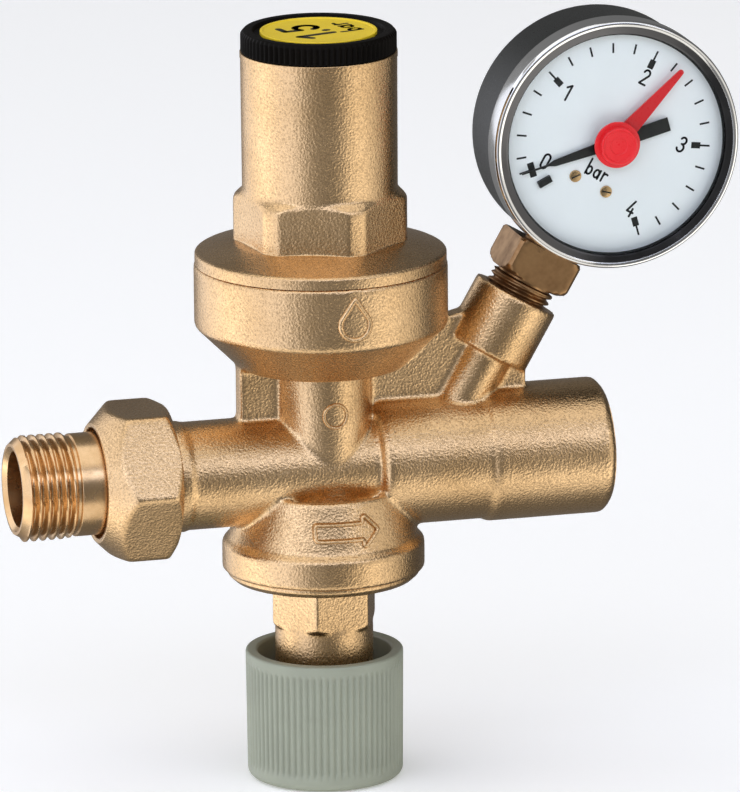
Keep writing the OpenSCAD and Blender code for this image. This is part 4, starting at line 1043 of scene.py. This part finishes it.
def toward(azimuth, elevation):
    """The direction at an azimuth from the camera's own and an elevation, in degrees."""
    a, e = math.radians(azimuth + CAMERA_AZIMUTH), math.radians(elevation)
    return Vector((math.sin(a) * math.cos(e), -math.cos(a) * math.cos(e), math.sin(e)))


def softbox(name, azimuth, elevation, width, height, radiance, colour=(1, 1, 1)):
    """A rectangular studio light of that angular size in degrees, aimed at the object."""
    distance = 1.6
    middle = Vector((axis_x * MM, 0, 0.01))
    light = bpy.data.lights.new(name, "AREA")
    light.shape = "RECTANGLE"
    light.size = 2 * distance * math.tan(math.radians(width / 2))
    light.size_y = 2 * distance * math.tan(math.radians(height / 2))
    light.energy = radiance * math.pi * light.size * light.size_y
    light.color = colour
    lamp = bpy.data.objects.new(name, light)
    way = toward(azimuth, elevation)
    lamp.location = middle + way * distance
    lamp.rotation_euler = (-way).to_track_quat("-Z", "Y").to_euler()
    bpy.context.scene.collection.objects.link(lamp)


def make_lights():
    """Six soft lights: cool ones from the front and the left, warm ones from the right and below."""
    cool, warm = (0.92, 1.0, 1.26), (1.0, 0.96, 0.88)
    softbox("key", 4, 35, 92, 20, 1.75, cool)
    softbox("front_left", -46, -4, 40, 62, 0.82, cool)
    softbox("left", -108, 0, 76, 80, 0.9, (0.97, 1.0, 1.1))
    softbox("right", 70, -8, 62, 76, 0.8, warm)
    softbox("under", -14, -57, 170, 44, 0.9, warm)
    softbox("top", 0, 82, 80, 56, 1.1)


def make_stage():
    """A pale floor; mirrors and shadow rays pass it, so that metal reflects the softboxes under it."""
    half = 3.0
    level = cad_box[0].z - 0.0002
    corners = [(-half, -half, level), (half, -half, level), (half, half, level), (-half, half, level)]
    mesh = bpy.data.meshes.new("floor")
    mesh.from_pydata(corners, [], [(0, 1, 2, 3)])
    mat, tree, bsdf = shader("floor_white", (0.92, 0.92, 0.92), roughness=0.9)
    path = tree.nodes.new("ShaderNodeLightPath")
    passing = tree.nodes.new("ShaderNodeMath")
    passing.operation = "MAXIMUM"
    tree.links.new(path.outputs["Is Glossy Ray"], passing.inputs[0])
    tree.links.new(path.outputs["Is Shadow Ray"], passing.inputs[1])
    clear = tree.nodes.new("ShaderNodeBsdfTransparent")
    blend = tree.nodes.new("ShaderNodeMixShader")
    tree.links.new(passing.outputs["Value"], blend.inputs["Fac"])
    bsdf.inputs["Emission Color"].default_value = (1, 1, 1, 1)
    bsdf.inputs["Emission Strength"].default_value = 0.22
    tree.links.new(bsdf.outputs["BSDF"], blend.inputs[1])
    tree.links.new(clear.outputs["BSDF"], blend.inputs[2])
    tree.links.new(blend.outputs["Shader"], tree.nodes["Material Output"].inputs["Surface"])
    mesh.materials.append(mat)
    floor = bpy.data.objects.new("floor", mesh)
    bpy.context.scene.collection.objects.link(floor)


def make_world():
    """A dim studio round the softboxes, darker behind and to the right."""
    world = bpy.data.worlds.new("studio")
    bpy.context.scene.world = world
    world.use_nodes = True
    tree = world.node_tree
    background = tree.nodes["Background"]
    where = tree.nodes.new("ShaderNodeTexCoord")
    parts = tree.nodes.new("ShaderNodeSeparateXYZ")
    tree.links.new(where.outputs["Generated"], parts.inputs["Vector"])
    shade = ramp(tree, to_unit(tree, parts.outputs["X"]), [(0.0, 0.7), (0.4, 0.22), (0.8, 0.12), (1.0, 0.08)])
    path = tree.nodes.new("ShaderNodeLightPath")
    seen = mix(tree, path.outputs["Is Camera Ray"], shade, (1.0, 1.0, 1.0, 1))
    tree.links.new(seen, background.inputs["Color"])
    background.inputs["Strength"].default_value = 1.0


def to_unit(tree, value):
    """Maps -1..1 to 0..1."""
    node = tree.nodes.new("ShaderNodeMapRange")
    node.inputs["From Min"].default_value = -1
    node.inputs["From Max"].default_value = 1
    tree.links.new(value, node.inputs["Value"])
    return node.outputs["Result"]


def make_camera():
    """The view from the front, turned to the left and raised, of a field 156 mm high."""
    azimuth, roll = math.radians(CAMERA_AZIMUTH), math.radians(0.5)
    distance, field_height = 2.5, 156.213
    # how far the middle of the view lies to the right of and above the crossing of the two axes
    aim_right, aim_up = 9.4675, 13.57
    back = toward(0, CAMERA_ELEVATION)
    right = Vector((math.cos(azimuth), math.sin(azimuth), 0))
    up = back.cross(right)
    target = Vector((axis_x, 0, 0)) * MM + (right * aim_right + up * aim_up) * MM
    data = bpy.data.cameras.new("camera")
    data.lens = data.sensor_width * distance / (field_height * MM)
    data.clip_end = 50
    data.dof.use_dof = False
    camera = bpy.data.objects.new("camera", data)
    camera.location = target + back * distance
    facing = (-back).to_track_quat("-Z", "Y").to_matrix() @ Matrix.Rotation(-roll, 3, "Z")
    camera.rotation_euler = facing.to_euler()
    bpy.context.scene.collection.objects.link(camera)
    bpy.context.scene.camera = camera


make_stage()
make_world()
make_camera()
make_lights()
bpy.context.scene.view_settings.view_transform = "Standard"
